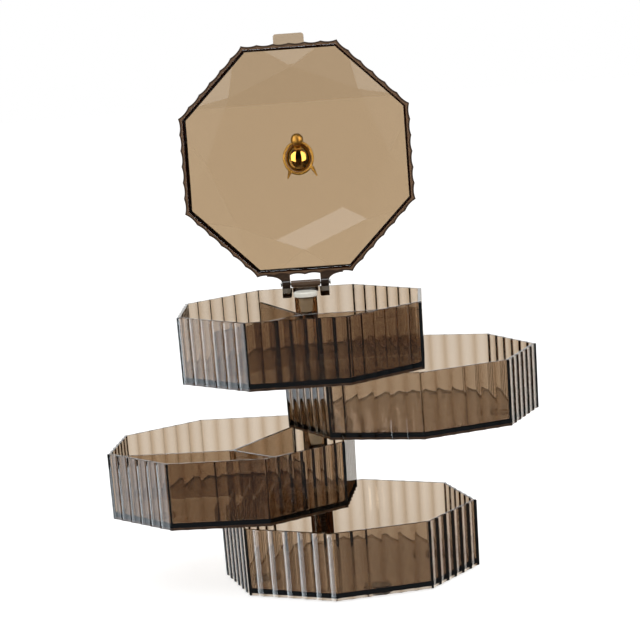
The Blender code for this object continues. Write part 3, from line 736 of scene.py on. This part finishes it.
def heel_outline():
    """Side view of a stop heel, as (x, height) from the pin with the lid shut."""
    wall_face = HINGE_REACH - FIT_GAP
    open_points = eased([
        (wall_face, -LUG_TAIL, 0.3 * MM), (wall_face, LUG_HEEL - LUG_TAIL, 0.3 * MM),
        (0, 0, 0), (-LUG_RADIUS, 0, 0), (wall_face - LUG_HEEL, -LUG_TAIL, 0.4 * MM),
    ], closed=True)
    shut = Matrix.Rotation(math.radians(-LID_OPEN), 2)
    return [tuple(shut @ Vector(spot)) for spot in open_points]


tab_low = LID_Z + FIT_GAP
tab = cut_out("tab", tab_outline(), tab_low, tab_low + TAB_THICK, 0.25 * MM)
combine(lid, tab, "UNION")
upright = Matrix.Rotation(math.pi / 2, 4, "X")
for side in (-1, 1):
    middle = side * (LUG_INNER + LUG_WIDTH / 2)
    flare = cut_out("flare", flare_outline(side), tab_low, PIN_Z + LUG_RADIUS, 0.2 * MM)
    combine(lid, flare, "UNION")
    eye = cross_bar("eye", round_bar(LUG_RADIUS, LUG_WIDTH - 0.1 * MM, 0.2 * MM), middle)
    combine(lid, eye, "UNION")
    half = LUG_WIDTH / 2 - 0.1 * MM
    heel = cut_out("heel", heel_outline(), -half, half, 0.2 * MM)
    settle(heel, Matrix.Translation((PIN_X, middle, PIN_Z)) @ upright)
    combine(lid, heel, "UNION")
pin_hole = cross_bar(
    "lid_pin_hole", round_bar(PIN_HOLE, 2 * (LUG_INNER + LUG_WIDTH + MM), 0),
)
combine(lid, pin_hole, "DIFFERENCE")
print("lid with its hinge:", len(lid.data.polygons), "faces")

# %% [markdown]
# A facet is flat right up to its edge, but the shading angle that suits the coves is larger
# than the turn between two facets. So the crown's edges are marked sharp by hand: an edge is
# one where two faces that both look up or down meet at more than three degrees. The foot
# face and the hinge part get painted shade, darkest on the hinge lugs and the outer edge of
# the foot face, the rest of the lid gets a slightly warmer tint, and the lid takes its open
# place.
# %% Sharp facet edges
def sharpen_crown(piece):
    """Mark the edges between facets sharp."""
    start_edit(piece, "EDGE")

    def between_facets(edge):
        faces = edge.link_faces
        if len(faces) != 2 or edge.calc_face_angle(0) < math.radians(3):
            return False
        return all(abs(face.normal.z) > 0.9 for face in faces)

    select_where(piece, "edges", between_facets)
    chosen = sum(1 for edge in bmesh.from_edit_mesh(piece.data).edges if edge.select)
    bpy.ops.mesh.mark_sharp()
    end_edit()
    print("sharp facet edges:", chosen)


sharpen_crown(lid)


def lid_shade_and_tint(spot, normal):
    """Painted shade on the lid's lugs, tab, foot face's outer edge, flares and foot face, and a
    warmer tint on the rest.
    """
    lugs, tab, outer_edge, flare_or_foot, rest = 1.0, 0.2, 0.95, 0.5, 0.1
    if spot.x <= -PIN_CLEAR:
        return lugs
    if spot.x > MIDDLE_X + RIM + 0.2 * MM:
        return tab
    if abs(spot.z - LID_Z) < 0.3 * MM and from_edge(spot) < 0.85 * MM:
        return outer_edge
    flare = spot.x < -HUB_INSET - 0.8 * MM and abs(spot.y) < 24 * MM
    foot_face = abs(spot.z - LID_Z) < 0.02 * MM and normal.z < -0.9
    return flare_or_foot if flare or foot_face else rest


# The lid gets painted shade at its hinge, tab, foot face and outer edge, and a warmer tint
# elsewhere.
mark_painted_shade_and_tint(lid, lid_shade_and_tint)
clear_pieces.append(finish_piece(lid, "lid_shell", "lid", "tea_plastic", lid_place()))

# %% [markdown]
# The trays turn on ivory bushes: a flange that the next tray's hub rests on, and a shank
# that tapers into the stepped bore. The cap on top is the same part, closed.
# %% Ivory bushes and cap
ROD_RADIUS = 2 * MM
BORE = ROD_RADIUS + FIT_GAP
FLANGE_RADIUS = 6.4 * MM
SHANK_RADIUS = 3.85 * MM
SHANK_TIP_RADIUS = 3.0 * MM


def shank_corners():
    """Corners of a flange and its tapered shank, down to the bore."""
    low = HUB_TOP + FIT_GAP
    return [
        (FLANGE_RADIUS, FLANGE_TOP, 0.9 * MM), (FLANGE_RADIUS, low, 0.25 * MM),
        (SHANK_RADIUS, low, 0.1 * MM),
        (SHANK_RADIUS, (low + SHANK_TIP + 1.6 * MM) / 2, 3 * MM),
        (SHANK_TIP_RADIUS, SHANK_TIP, 0.3 * MM),
    ]


bush_corners = [(BORE, SHANK_TIP, 0), (BORE, FLANGE_TOP, 0.15 * MM)] + shank_corners()
bush = turned("bush", eased(bush_corners + [(BORE, SHANK_TIP, 0)], steps=6))
for node, body, tray in (
    ("hub_bush_4", "base", "tray_4"), ("hub_bush_3", "lower_tray", "tray_3"),
    ("hub_bush_2", "upper_tray", "tray_2"),
):
    finish_piece(copy_of(bush, node), node, body, "ivory_plastic", level_place(tray))
bpy.data.objects.remove(bush, do_unlink=True)
socket = FLANGE_TOP - 1.35 * MM
cap = turned("cap", eased([(0, FLANGE_TOP, 0)] + shank_corners() + [
    (BORE, SHANK_TIP, 0.1 * MM), (BORE, socket, 0), (0, socket, 0),
], steps=6))
finish_piece(cap, "spindle_cap", "base", "ivory_plastic", level_place("tray_1"))

# %% [markdown]
# One steel rod runs through every hub. Its flat head is let into the underside of the base
# tray's hub, and its top ends inside the ivory cap. The hinge pin is a smaller one.
# %% Steel rod and hinge pin
ROD_TOP = TOP_LEVEL - PAD_PROUD + socket - FIT_GAP
ROD_HEAD = 4.5 * MM
ROD_HEAD_TOP = 2.9 * MM
PIN_RADIUS = 0.8 * MM
PIN_HEAD = 1.4 * MM
rod = turned("rod", eased([
    (0, ROD_TOP, 0), (ROD_RADIUS, ROD_TOP, 0.4 * MM), (ROD_RADIUS, ROD_HEAD_TOP, 0.15 * MM),
    (ROD_HEAD, ROD_HEAD_TOP, 0.3 * MM), (ROD_HEAD, FOOT_RIM_HEIGHT, 0.2 * MM),
    (0, FOOT_RIM_HEIGHT, 0),
]), steps=SMALL_STEPS)
finish_piece(rod, "spindle_rod", "base", "bright_steel", level_place("tray_4"))
pin_half = LUG_INNER + LUG_WIDTH + FIT_GAP
pin_end = pin_half + 0.6 * MM
pin = cross_bar("pin", eased([
    (0, pin_end, 0), (PIN_HEAD, pin_end, 0.35 * MM), (PIN_HEAD, pin_half, 0.1 * MM),
    (PIN_RADIUS, pin_half, 0.05 * MM), (PIN_RADIUS, -pin_half, 0.05 * MM),
    (PIN_HEAD, -pin_half, 0.1 * MM), (PIN_HEAD, -pin_end, 0.35 * MM), (0, -pin_end, 0),
]))
finish_piece(pin, "hinge_pin", "lid", "bright_steel", lid_place())

# %% [markdown]
# Round grey pads sit in the base tray's ring seats and under its hub, and lift the box a
# millimetre off the table. The seats' walls hold them, so only their rounded rims show.
# %% Non-slip pads
PAD_RADIUS = 5 * MM
PAD_DIP = 0.2 * MM
pad_top = FOOT_RIM_HEIGHT - FIT_GAP
pad_corners = [
    (0, pad_top, 0), (PAD_RADIUS, pad_top, 0.2 * MM), (PAD_RADIUS, -PAD_PROUD, 0.45 * MM),
    (3.2 * MM, -PAD_PROUD, 0.2 * MM), (3.0 * MM, PAD_DIP - PAD_PROUD, 0.2 * MM),
    (0, PAD_DIP - PAD_PROUD, 0),
]
for node, centre in zip(("hub_pad", "foot_pad_1", "foot_pad_2", "foot_pad_3"), [(0, 0)] + SEATS):
    pad = turned(node, eased(pad_corners), centre, SMALL_STEPS)
    finish_piece(pad, node, "base", "soft_pad", level_place("tray_4"))

# %% [markdown]
# The knob is cast and polished metal: an oval ring on one round foot and two tapered prongs.
# A torus, a ball and two cones start it. They are drawn to size, joined, and run together
# with a remesh and a little smoothing, which leaves the soft fillets that a casting has.
# %% Knob ring
RING_LENGTH = 9.3 * MM
RING_WIDTH = 8.5 * MM
RING_TUBE = 0.8 * MM
RING_Z = TABLE_Z + 4.6 * MM
FOOT_RADIUS = 3.4 * MM
FOOT_LIFT = 2.4 * MM
CAST_GRAIN = 0.14 * MM


def add_prong(root, tip):
    """A tapered prong from the ring down to the lid."""
    root, tip = Vector(root), Vector(tip)
    run = tip - root
    nothing_selected()
    bpy.ops.mesh.primitive_cone_add(
        vertices=32, radius1=1.1 * MM, radius2=0.35 * MM, depth=run.length,
        location=(root + tip) / 2, rotation=run.to_track_quat("Z", "Y").to_euler(),
    )
    return named("prong")


nothing_selected()
bpy.ops.mesh.primitive_torus_add(
    major_segments=96, minor_segments=24, major_radius=RING_WIDTH - RING_TUBE,
    minor_radius=RING_TUBE,
)
ring = named("knob_ring")
start_edit(ring, action="SELECT")
stretch = (RING_LENGTH - RING_TUBE) / (RING_WIDTH - RING_TUBE)
bpy.ops.transform.resize(value=(stretch, 1, 1), center_override=(0, 0, 0))
bpy.ops.transform.translate(value=(MIDDLE_X, 0, RING_Z))
end_edit()
nothing_selected()
knob_foot = TABLE_Z + FIT_GAP
foot_middle = knob_foot + FOOT_LIFT
bpy.ops.mesh.primitive_uv_sphere_add(
    segments=48, ring_count=24, radius=FOOT_RADIUS,
    location=(MIDDLE_X + 1.08 * RING_LENGTH, 0, foot_middle),
)
foot = named("knob_foot")
start_edit(foot, action="SELECT")
bpy.ops.transform.resize(value=(1, 1, 0.75), center_override=(0, 0, foot_middle))
bpy.ops.mesh.bisect(
    plane_co=(0, 0, knob_foot), plane_no=(0, 0, 1), use_fill=True, clear_inner=True,
)
end_edit()
combine(ring, foot, "UNION")
for root, tip in (((-0.76, -0.58), (-1.16, -0.74)), ((-0.60, 0.84), (-1.10, 1.14))):
    combine(ring, add_prong(
        (MIDDLE_X + root[0] * RING_LENGTH, root[1] * RING_WIDTH, RING_Z),
        (MIDDLE_X + tip[0] * RING_LENGTH, tip[1] * RING_WIDTH, knob_foot + 0.35 * MM),
    ), "UNION")
hold(ring)
cast = ring.modifiers.new("cast", "REMESH")
cast.mode = "VOXEL"
cast.voxel_size = CAST_GRAIN
bpy.ops.object.modifier_apply(modifier="cast")
start_edit(ring, action="SELECT")
bpy.ops.mesh.vertices_smooth(factor=0.5, repeat=6)
end_edit()
print("cast ring:", len(ring.data.polygons), "faces")
finish_piece(ring, "knob_ring", "lid", "polished_gold", lid_place(), 60)

# %% [markdown]
# Inside the ring sits a polished oval ball, a plain ellipsoid whose lowest point is just above
# the lid.
# %% Knob ball
BALL_HALF = 5.8 * MM
ring_inside = 2 * RING_TUBE + 0.1 * MM
nothing_selected()
bpy.ops.mesh.primitive_uv_sphere_add(segments=96, ring_count=48, radius=1)
ball = named("knob_ball")
start_edit(ball, action="SELECT")
bpy.ops.transform.resize(value=(
    RING_LENGTH - ring_inside, RING_WIDTH - ring_inside, BALL_HALF,
), center_override=(0, 0, 0))
bpy.ops.transform.translate(value=(MIDDLE_X, 0, TABLE_Z + FIT_GAP + BALL_HALF))
end_edit()
finish_piece(ball, "knob_ball", "lid", "polished_gold", lid_place(), 60)

# %% [markdown]
# Every finish is built from nodes that read Object coordinates, so nothing slides or turns
# when a tray swings. One helper adds a node, and its inputs are given as plain values or as
# the output of another node. The rest are made of it: a noise laid out in the piece's own
# metres, a value mapped to a range, a bump, a blend of two colours and a ramp of several.
# %% Nodes to build on
FINISHES = {}


def feed(tree, box, inputs):
    """Set a node's inputs, and link those that come from another node."""
    for key, value in inputs.items():
        if isinstance(value, bpy.types.NodeSocket):
            tree.links.new(value, box.inputs[key])
        else:
            box.inputs[key].default_value = value


def add_node(tree, kind, output, inputs=(), **settings):
    """Add a node with its settings and inputs, and give back the output to use."""
    box = tree.nodes.new("ShaderNode" + kind)
    for key, value in settings.items():
        setattr(box, key, value)
    feed(tree, box, dict(inputs))
    return box.outputs[output]


def reckon(tree, operation, *values):
    """One step of arithmetic on up to three values."""
    return add_node(tree, "Math", "Value", enumerate(values), operation=operation)


def new_finish(name):
    """A material's tree, its shader and its Object coordinates."""
    finish = FINISHES[name] = bpy.data.materials.new(name)
    finish.use_nodes = True
    tree = finish.node_tree
    return tree, tree.nodes["Principled BSDF"], add_node(tree, "TexCoord", "Object")


def noise(tree, place, scale, detail=2.0, stretch=(1, 1, 1)):
    """A noise whose grains are about 1 / scale metres wide."""
    spread = add_node(tree, "Mapping", "Vector", {"Vector": place, "Scale": stretch})
    return add_node(tree, "TexNoise", "Fac", {"Vector": spread, "Scale": scale, "Detail": detail})


def between(tree, value, low, high, start=0.3, end=0.7):
    """Map a value to a range."""
    return add_node(tree, "MapRange", "Result", {
        "Value": value, "From Min": start, "From Max": end, "To Min": low, "To Max": high,
    })


def bump(tree, height, strength, distance):
    """Turn a height into a bump."""
    return add_node(tree, "Bump", "Normal", {
        "Strength": strength, "Distance": distance, "Height": height,
    })


def blend_colours(tree, share, first, second):
    """Mix two colours by a share."""
    return add_node(tree, "Mix", "Result", {
        "Factor": share, "A": (*first, 1), "B": (*second, 1),
    }, data_type="RGBA")


def ramp(tree, share, stops):
    """Colours along a share from 0 to 1, given as (place, colour) stops."""
    box = tree.nodes.new("ShaderNodeValToRGB")
    band = box.color_ramp.elements
    band[0].color, band[1].color = (*stops[0][1], 1), (*stops[-1][1], 1)
    for place, colour in stops[1:-1]:
        band.new(place).color = (*colour, 1)
    feed(tree, box, {"Fac": share})
    return box.outputs["Color"]


print("nodes ready")

# %% [markdown]
# The trays and the lid are clear styrene with a tea-brown tint. The tint belongs inside the
# plastic, not on its skin: a thin wall is tan, two walls are brown, and the long way through
# an edge or a corner is nearly black. So the shader is plain clear plastic and its volume
# absorbs, most of all blue. The skin has the faint waves of a moulding and fine scuffs. On the
# lid's foot face and edge, the tab, the hinge and the trays' foot rims, an attribute of the
# piece paints shade: it darkens the colour towards black and takes the clearness away. Its
# smallest step gives the rest of the lid a slightly warmer tint.
# %% Tea-brown clear plastic
tree, shader, place = new_finish("tea_plastic")
# The attribute named edge carries painted shade, and the lid's warmer tint at its lowest step.
edge = add_node(tree, "Attribute", "Fac", attribute_name="edge")
feed(tree, shader, {
    "IOR": 1.58,
    # Painted shade: the colour turns brown, then nearly black, and the transmission falls away.
    "Base Color": ramp(tree, edge, [
        (0.0, (1.0, 1.0, 1.0)), (0.1, (1.0, 0.93, 0.79)), (0.5, (0.32, 0.2, 0.125)),
        (1.0, (0.03, 0.02, 0.015)),
    ]),
    "Transmission Weight": between(tree, edge, 1.0, 0.0, 0.1, 0.9),
    "Roughness": between(tree, noise(tree, place, 70, 3), 0.0, 0.012, 0.5, 0.8),
    "Normal": bump(tree, noise(tree, place, 40, 1), 0.1, 0.03 * MM),
})
tint = add_node(tree, "VolumeAbsorption", "Volume", {
    "Color": (0.5294, 0.3647, 0.1529, 1), "Density": 850,
})
feed(tree, tree.nodes["Material Output"], {"Volume": tint})
FINISHES["tea_plastic"].diffuse_color = (0.55, 0.42, 0.3, 1)
print("tea_plastic:", len(tree.nodes), "nodes")

# %% [markdown]
# The bushes are a pale ivory bearing plastic, slightly waxy, with a soft mottle.
# %% Ivory plastic
tree, shader, place = new_finish("ivory_plastic")
mottle = between(tree, noise(tree, place, 450, 3), 0, 1)
feed(tree, shader, {
    "Base Color": blend_colours(tree, mottle, (0.88, 0.86, 0.76), (0.94, 0.93, 0.86)),
    "Roughness": between(tree, noise(tree, place, 900), 0.28, 0.42),
    "Normal": bump(tree, noise(tree, place, 3000), 0.15, 0.02 * MM),
})
print("ivory_plastic:", len(tree.nodes), "nodes")

# %% [markdown]
# Steel and gold are metals, so nearly all of their look is what they reflect. The steel is
# drawn bar, with fine lines round it. The gold is cast and polished, with a breath of haze,
# and the ring round the ball is left satin.
# %% Steel and gold
tree, shader, place = new_finish("bright_steel")
lines = noise(tree, place, 400, stretch=(1, 1, 12))
feed(tree, shader, {
    "Metallic": 1.0,
    "Base Color": blend_colours(tree, lines, (0.55, 0.54, 0.52), (0.66, 0.65, 0.63)),
    "Roughness": between(tree, lines, 0.16, 0.32),
    "Normal": bump(tree, lines, 0.2, 0.01 * MM),
})
print("bright_steel:", len(tree.nodes), "nodes")
for name, smooth, hazy in (("polished_gold", 0.05, 0.1), ("satin_gold", 0.42, 0.52)):
    tree, shader, place = new_finish(name)
    cloud = noise(tree, place, 350, 3)
    share = between(tree, cloud, 0, 1)
    feed(tree, shader, {
        "Metallic": 1.0,
        "Base Color": blend_colours(tree, share, (0.93, 0.66, 0.24), (0.97, 0.74, 0.32)),
        "Roughness": between(tree, cloud, smooth, hazy),
        "Normal": bump(tree, noise(tree, place, 500), 0.08, 0.05 * MM),
    })
    print(f"{name}: {len(tree.nodes)} nodes")

# %% [markdown]
# The pads are matt grey rubber with a fine grain.
# %% Rubber
tree, shader, place = new_finish("soft_pad")
grain = noise(tree, place, 2500, 3)
feed(tree, shader, {
    "Base Color": blend_colours(tree, grain, (0.16, 0.155, 0.15), (0.26, 0.25, 0.24)),
    "Roughness": between(tree, grain, 0.7, 0.9),
    "Normal": bump(tree, grain, 0.3, 0.05 * MM),
})
print("soft_pad:", len(tree.nodes), "nodes")

# %% [markdown]
# Each piece takes the finish of its slot. The clear pieces let lamp light through to what is
# inside them and behind them, so their own shadow is left to the world's soft light.
# %% Dress the pieces
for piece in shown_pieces():
    slot_name = piece.get("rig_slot")
    if slot_name in FINISHES:
        piece.data.materials.clear()
        piece.data.materials.append(FINISHES[slot_name])
        print(f"{piece.name}: {slot_name}")
ring.data.materials[0] = FINISHES["satin_gold"]
for piece in clear_pieces:
    piece.visible_shadow = False

# %% [markdown]
# The box stands on a pale floor in a white studio. The world is plain white where the camera,
# a reflection or a view through the plastic meets it, and softer where it only lights. The
# floor glows a little to match it, and is open to light that has been reflected.
# %% World and floor
SKY_LIGHT = 0.75
SKY_SEEN = 1.0
FLOOR_SIZE = 8
FLOOR_GLOW = 0.49


def seen_ray(tree):
    """One where the camera, a reflection or a view through glass looks, else zero."""
    rays = tree.nodes.new("ShaderNodeLightPath").outputs
    direct = reckon(tree, "MAXIMUM", rays["Is Camera Ray"], rays["Is Glossy Ray"])
    return reckon(tree, "MAXIMUM", direct, rays["Is Transmission Ray"])


scene = bpy.context.scene
world = bpy.data.worlds.new("studio")
scene.world = world
world.use_nodes = True
tree = world.node_tree
tree.nodes.clear()
lighting, seen = (
    add_node(tree, "Background", "Background", {"Color": (1, 1, 1, 1), "Strength": strength})
    for strength in (SKY_LIGHT, SKY_SEEN)
)
sky = add_node(tree, "MixShader", "Shader", {"Fac": seen_ray(tree), 1: lighting, 2: seen})
feed(tree, tree.nodes.new("ShaderNodeOutputWorld"), {"Surface": sky})

nothing_selected()
bpy.ops.mesh.primitive_plane_add(size=FLOOR_SIZE)
floor = named("floor")
paper = bpy.data.materials.new("paper")
paper.use_nodes = True
tree = paper.node_tree
matt = tree.nodes["Principled BSDF"]
feed(tree, matt, {
    "Base Color": (0.8, 0.8, 0.8, 1), "Roughness": 1.0, "Specular IOR Level": 0.0,
    "Emission Color": (1, 1, 1, 1),
    "Emission Strength": reckon(tree, "MULTIPLY", seen_ray(tree), FLOOR_GLOW),
})
opened = add_node(tree, "MixShader", "Shader", {
    "Fac": add_node(tree, "LightPath", "Glossy Depth"), 1: matt.outputs["BSDF"],
    2: add_node(tree, "BsdfTransparent", "BSDF"),
})
feed(tree, tree.nodes["Material Output"], {"Surface": opened})
floor.data.materials.append(paper)
print("floor", floor.dimensions.x, "m")

# %% [markdown]
# Clear plastic and polished metal are drawn by what they reflect. In the photograph that is a
# dark room towards the camera, one narrow bluish light at the left, a white background behind
# and two lamps for the knob. Walls and cards stand for them. They show only in light that has
# been reflected at least once, so nobody sees them directly or straight through the plastic,
# and the cards, which are bright, only in light that has been reflected just once. A wall's
# brightness changes with the bearing round the spindle, from -180 to 180 degrees, with the
# camera at 0 and the right at 90.
# %% What the box reflects
COOL = (0.84, 0.93, 1.0)
WARM = (1.0, 0.94, 0.86)


def bearing_of(tree):
    """The bearing of a spot round the spindle, as a share from 0 to 1."""
    split = tree.nodes.new("ShaderNodeSeparateXYZ")
    feed(tree, split, {"Vector": add_node(tree, "TexCoord", "Object")})
    ahead = reckon(tree, "MULTIPLY", split.outputs["Y"], -1)
    turn = reckon(tree, "ARCTAN2", split.outputs["X"], ahead)
    return between(tree, turn, 0, 1, -math.pi, math.pi)


def just(tree, count, wanted):
    """One where a count is exactly the wanted one, else zero."""
    return reckon(tree, "COMPARE", count, wanted, 0.4)


def reflected_only(name, stops, once, clear_walls):
    """A finish that is clear until a ray has been reflected: (bearing, brightness, colour).

    Once: only in the first reflection. Clear walls: only behind that many plastic faces.
    """
    finish = bpy.data.materials.new(name)
    finish.use_nodes = True
    finish.cycles.emission_sampling = "NONE"
    tree = finish.node_tree
    tree.nodes.clear()
    rays = tree.nodes.new("ShaderNodeLightPath").outputs
    brightest = max(level for bearing, level, colour in stops)
    colours = ramp(tree, bearing_of(tree), [
        ((bearing + 180) / 360, [level / brightest * share for share in colour])
        for bearing, level, colour in stops
    ])
    share = rays["Glossy Depth"]
    if once:
        share = just(tree, share, 1)
    if clear_walls is not None:
        crossed = just(tree, rays["Transmission Depth"], clear_walls)
        share = reckon(tree, "MULTIPLY", share, crossed)
    shown = add_node(tree, "MixShader", "Shader", {
        "Fac": share, 1: add_node(tree, "BsdfTransparent", "BSDF"),
        2: add_node(tree, "Emission", "Emission", {"Color": colours, "Strength": brightest}),
    })
    feed(tree, tree.nodes.new("ShaderNodeOutputMaterial"), {"Surface": shown})
    return finish


def hang(flag, stops, once=False, clear_walls=None):
    """Make a wall or card part of the stage, for reflected light alone."""
    flag.data.materials.append(reflected_only(flag.name, stops, once, clear_walls))
    flag.visible_camera = False
    flag.visible_diffuse = False
    flag.visible_shadow = False
    print(flag.name, "of", [round(length, 2) for length in flag.dimensions], "m")


def round_wall(name, radius, low, high, stops, back=None):
    """A wall round the box, open behind the given place."""
    nothing_selected()
    bpy.ops.mesh.primitive_cylinder_add(
        vertices=96, radius=radius, depth=high - low, end_fill_type="NOTHING",
        location=(0, 0, (low + high) / 2),
    )
    wall = named(name)
    if back is not None:
        start_edit(wall, action="SELECT")
        bpy.ops.mesh.bisect(plane_co=(0, back, 0), plane_no=(0, 1, 0), clear_outer=True)
        end_edit()
    hang(wall, stops)


print("cool light", COOL, "warm light", WARM)

# %% [markdown]
# The trays' upright sides mirror what lies a little below them, so the floor is open to
# reflections and a deep wall goes on under it. The light at the left is two upright strips:
# each flute shows it as a white line with a bluish one beside it.
# %% Walls
round_wall("dark_wall", 1.9, 0.0, 3.2, [
    (-180, 1.0, WARM), (-105, 1.0, WARM), (-85, 0.02, COOL), (85, 0.02, COOL),
    (105, 1.0, WARM), (180, 1.0, WARM),
], 0.25)
round_wall("deep_wall", 1.8, -3.0, -0.002, [
    (-180, 1.6, WARM), (-143, 1.6, WARM), (-137, 0.08, COOL), (-128, 0.08, COOL),
    (-120, 1.8, COOL), (-100, 2.3, COOL), (-85, 1.8, COOL), (-82.5, 4.0, COOL),
    (-79, 4.0, COOL), (-77.3, 0.6, COOL), (-75.5, 8.0, COOL), (-70, 8.0, COOL),
    (-67, 0.2, COOL), (60, 0.2, COOL), (119, 0.05, COOL), (128, 1.6, WARM),
    (180, 1.6, WARM),
])

# %% [markdown]
# The cards are flat panels. Two of them draw the crescents on the knob, which the camera sees
# through the lid: a ray to them has crossed the lid twice, four faces. Black slats that all
# point at the knob stand before them, like the grid on a softbox, and keep them out of the
# trays' floors. One card hangs over the box and draws the bright line along every rim, and a
# small one makes the pale patch low on the lid. Three more brighten the lid's upper star
# facets, and a dark one parts the strip lights, so that they miss the second tray.
# %% Cards
BLACK = 0.01
KNOB_LIGHT = (0.68, 1.0, 1.3)
KNOB_WALLS = 4
SLAT_STEP = 0.06
STAR_CARD_HALF = (0.16, 0.14)


def card(name, corners, level, colour=COOL, clear_walls=None):
    """A flat panel with four corners, of one brightness."""
    nothing_selected()
    bpy.ops.mesh.primitive_plane_add(size=1)
    panel = named(name)
    for number, corner in zip((0, 1, 3, 2), corners):
        panel.data.vertices[number].co = corner
    hang(panel, [(-180, level, colour), (180, level, colour)], True, clear_walls)


knob_place = lid_place() @ Vector((MIDDLE_X, 0, TABLE_Z + BALL_HALF))
for name, side in (("left_knob_card", -1), ("right_knob_card", 1)):
    card(name, [
        knob_place + Vector((side * x, -0.36, z))
        for x, z in ((0.17, -0.15), (0.8, -0.15), (0.8, 0.43), (0.17, 0.43))
    ], 26.0, KNOB_LIGHT, KNOB_WALLS)
for number in range(13):
    slope = -0.42 + SLAT_STEP * number
    card(f"grid_slat_{number + 1}", [
        knob_place + Vector((x, -y, slope * y))
        for x, y in ((-0.8, 0.22), (0.8, 0.22), (0.8, 0.355), (-0.8, 0.355))
    ], BLACK, COOL, KNOB_WALLS)
half_width, half_height = STAR_CARD_HALF
for name, middle in (
    ("star_card_left", (0.70, -1.48, -0.64)), ("star_card_right", (-1.01, -1.30, -0.61)),
    ("star_card_top", (-0.18, -1.47, -1.04)),
):
    across = Vector((-middle[1], middle[0], 0)).normalized() * half_width
    card(name, [
        Vector(middle) + share * across + Vector((0, 0, z * half_height))
        for share, z in ((-1, -1), (1, -1), (1, 1), (-1, 1))
    ], 1.3)
card("gap_card", (
    (-1.68, -0.25, -0.265), (-1.40, -1.0, -0.265), (-1.40, -1.0, -0.208), (-1.68, -0.25, -0.208),
), 0.2)
card("top_card", ((-0.9, -0.9, 2.2), (0.9, -0.9, 2.2), (0.9, 0.9, 2.2), (-0.9, 0.9, 2.2)), 4.0)
card("lid_card", (
    (-0.0962, -1.0, 0.1405), (-0.0366, -1.0, 0.1742), (-0.0623, -1.0, 0.1888),
    (-0.1319, -1.0, 0.1604),
), 1.7)

# %% [markdown]
# The knob's ball is dark right up to its ring in the photograph. So a wide black drum stands
# behind the lid, open towards it. Only what the knob mirrors past the lid can meet it.
# %% Black drum
DRUM_DEPTH = 0.8
nothing_selected()
bpy.ops.mesh.primitive_cylinder_add(
    vertices=48, radius=0.6, depth=DRUM_DEPTH, end_fill_type="NGON",
)
drum = named("black_drum")
start_edit(drum, "FACE")
select_where(drum, "faces", lambda face: face.normal.z < -0.9)
bpy.ops.mesh.delete(type="FACE")
end_edit()
settle(drum, lid_place() @ Matrix.Translation((MIDDLE_X, 0, TABLE_Z + 3 * MM + DRUM_DEPTH / 2)))
hang(drum, [(-180, BLACK, COOL), (180, BLACK, COOL)], True, 2)

# %% [markdown]
# Two tall soft boxes stand left and right of the camera, as in a product studio. A lamp's
# power is worked out from the radiance it should have and its size.
# %% Lamps
LAMP_RADIANCE = 4.0
LAMP_SIZE = (0.5, 1.0)
LAMP_AIM = Vector((0, 0, 0.13))

for name, side, colour in (
    ("left_box", -1, (0.95, 0.98, 1.0)), ("right_box", 1, (1.0, 0.99, 0.97)),
):
    data = bpy.data.lights.new(name, "AREA")
    data.shape = "RECTANGLE"
    data.size, data.size_y = LAMP_SIZE
    data.color = colour
    data.energy = LAMP_RADIANCE * math.pi * data.size * data.size_y
    lamp = bpy.data.objects.new(name, data)
    scene.collection.objects.link(lamp)
    lamp.location = (side * 1.2, -0.75, 0.75)
    lamp.rotation_euler = (LAMP_AIM - lamp.location).to_track_quat("-Z", "Y").to_euler()
    lamp.visible_camera = False
    lamp.visible_transmission = False

# %% [markdown]
# The camera is the one that took the photograph: its place, its turn and its lens were fitted
# to the corners of the trays' rims, with no shift.
# %% Camera
CAMERA_PLACE = (-1.69 * MM, -1465.18 * MM, 333.71 * MM)
CAMERA_RIGHT = (0.99723, -0.01599, -0.07257)
CAMERA_AHEAD = (0.00569, 0.99014, -0.13996)

camera_data = bpy.data.cameras.new("camera")
camera = bpy.data.objects.new("camera", camera_data)
scene.collection.objects.link(camera)
scene.camera = camera
right = Vector(CAMERA_RIGHT).normalized()
back = -Vector(CAMERA_AHEAD).normalized()
axes = Matrix((right, back.cross(right), back)).transposed()
camera.matrix_world = Matrix.Translation(CAMERA_PLACE) @ axes.to_4x4()
camera_data.sensor_width = 36
camera_data.lens = 154.66
camera_data.dof.use_dof = False
print("camera looks down", round(math.degrees(math.asin(back.z)), 2), "degrees")

# %% [markdown]
# A look through the box crosses up to a dozen walls, each with two faces, so light needs more
# bounces than a scene of solid things. The view is plain.
# %% Finish
scene.cycles.max_bounces = 40
scene.cycles.transmission_bounces = 36
scene.cycles.transparent_max_bounces = 24
scene.view_settings.view_transform = "Standard"
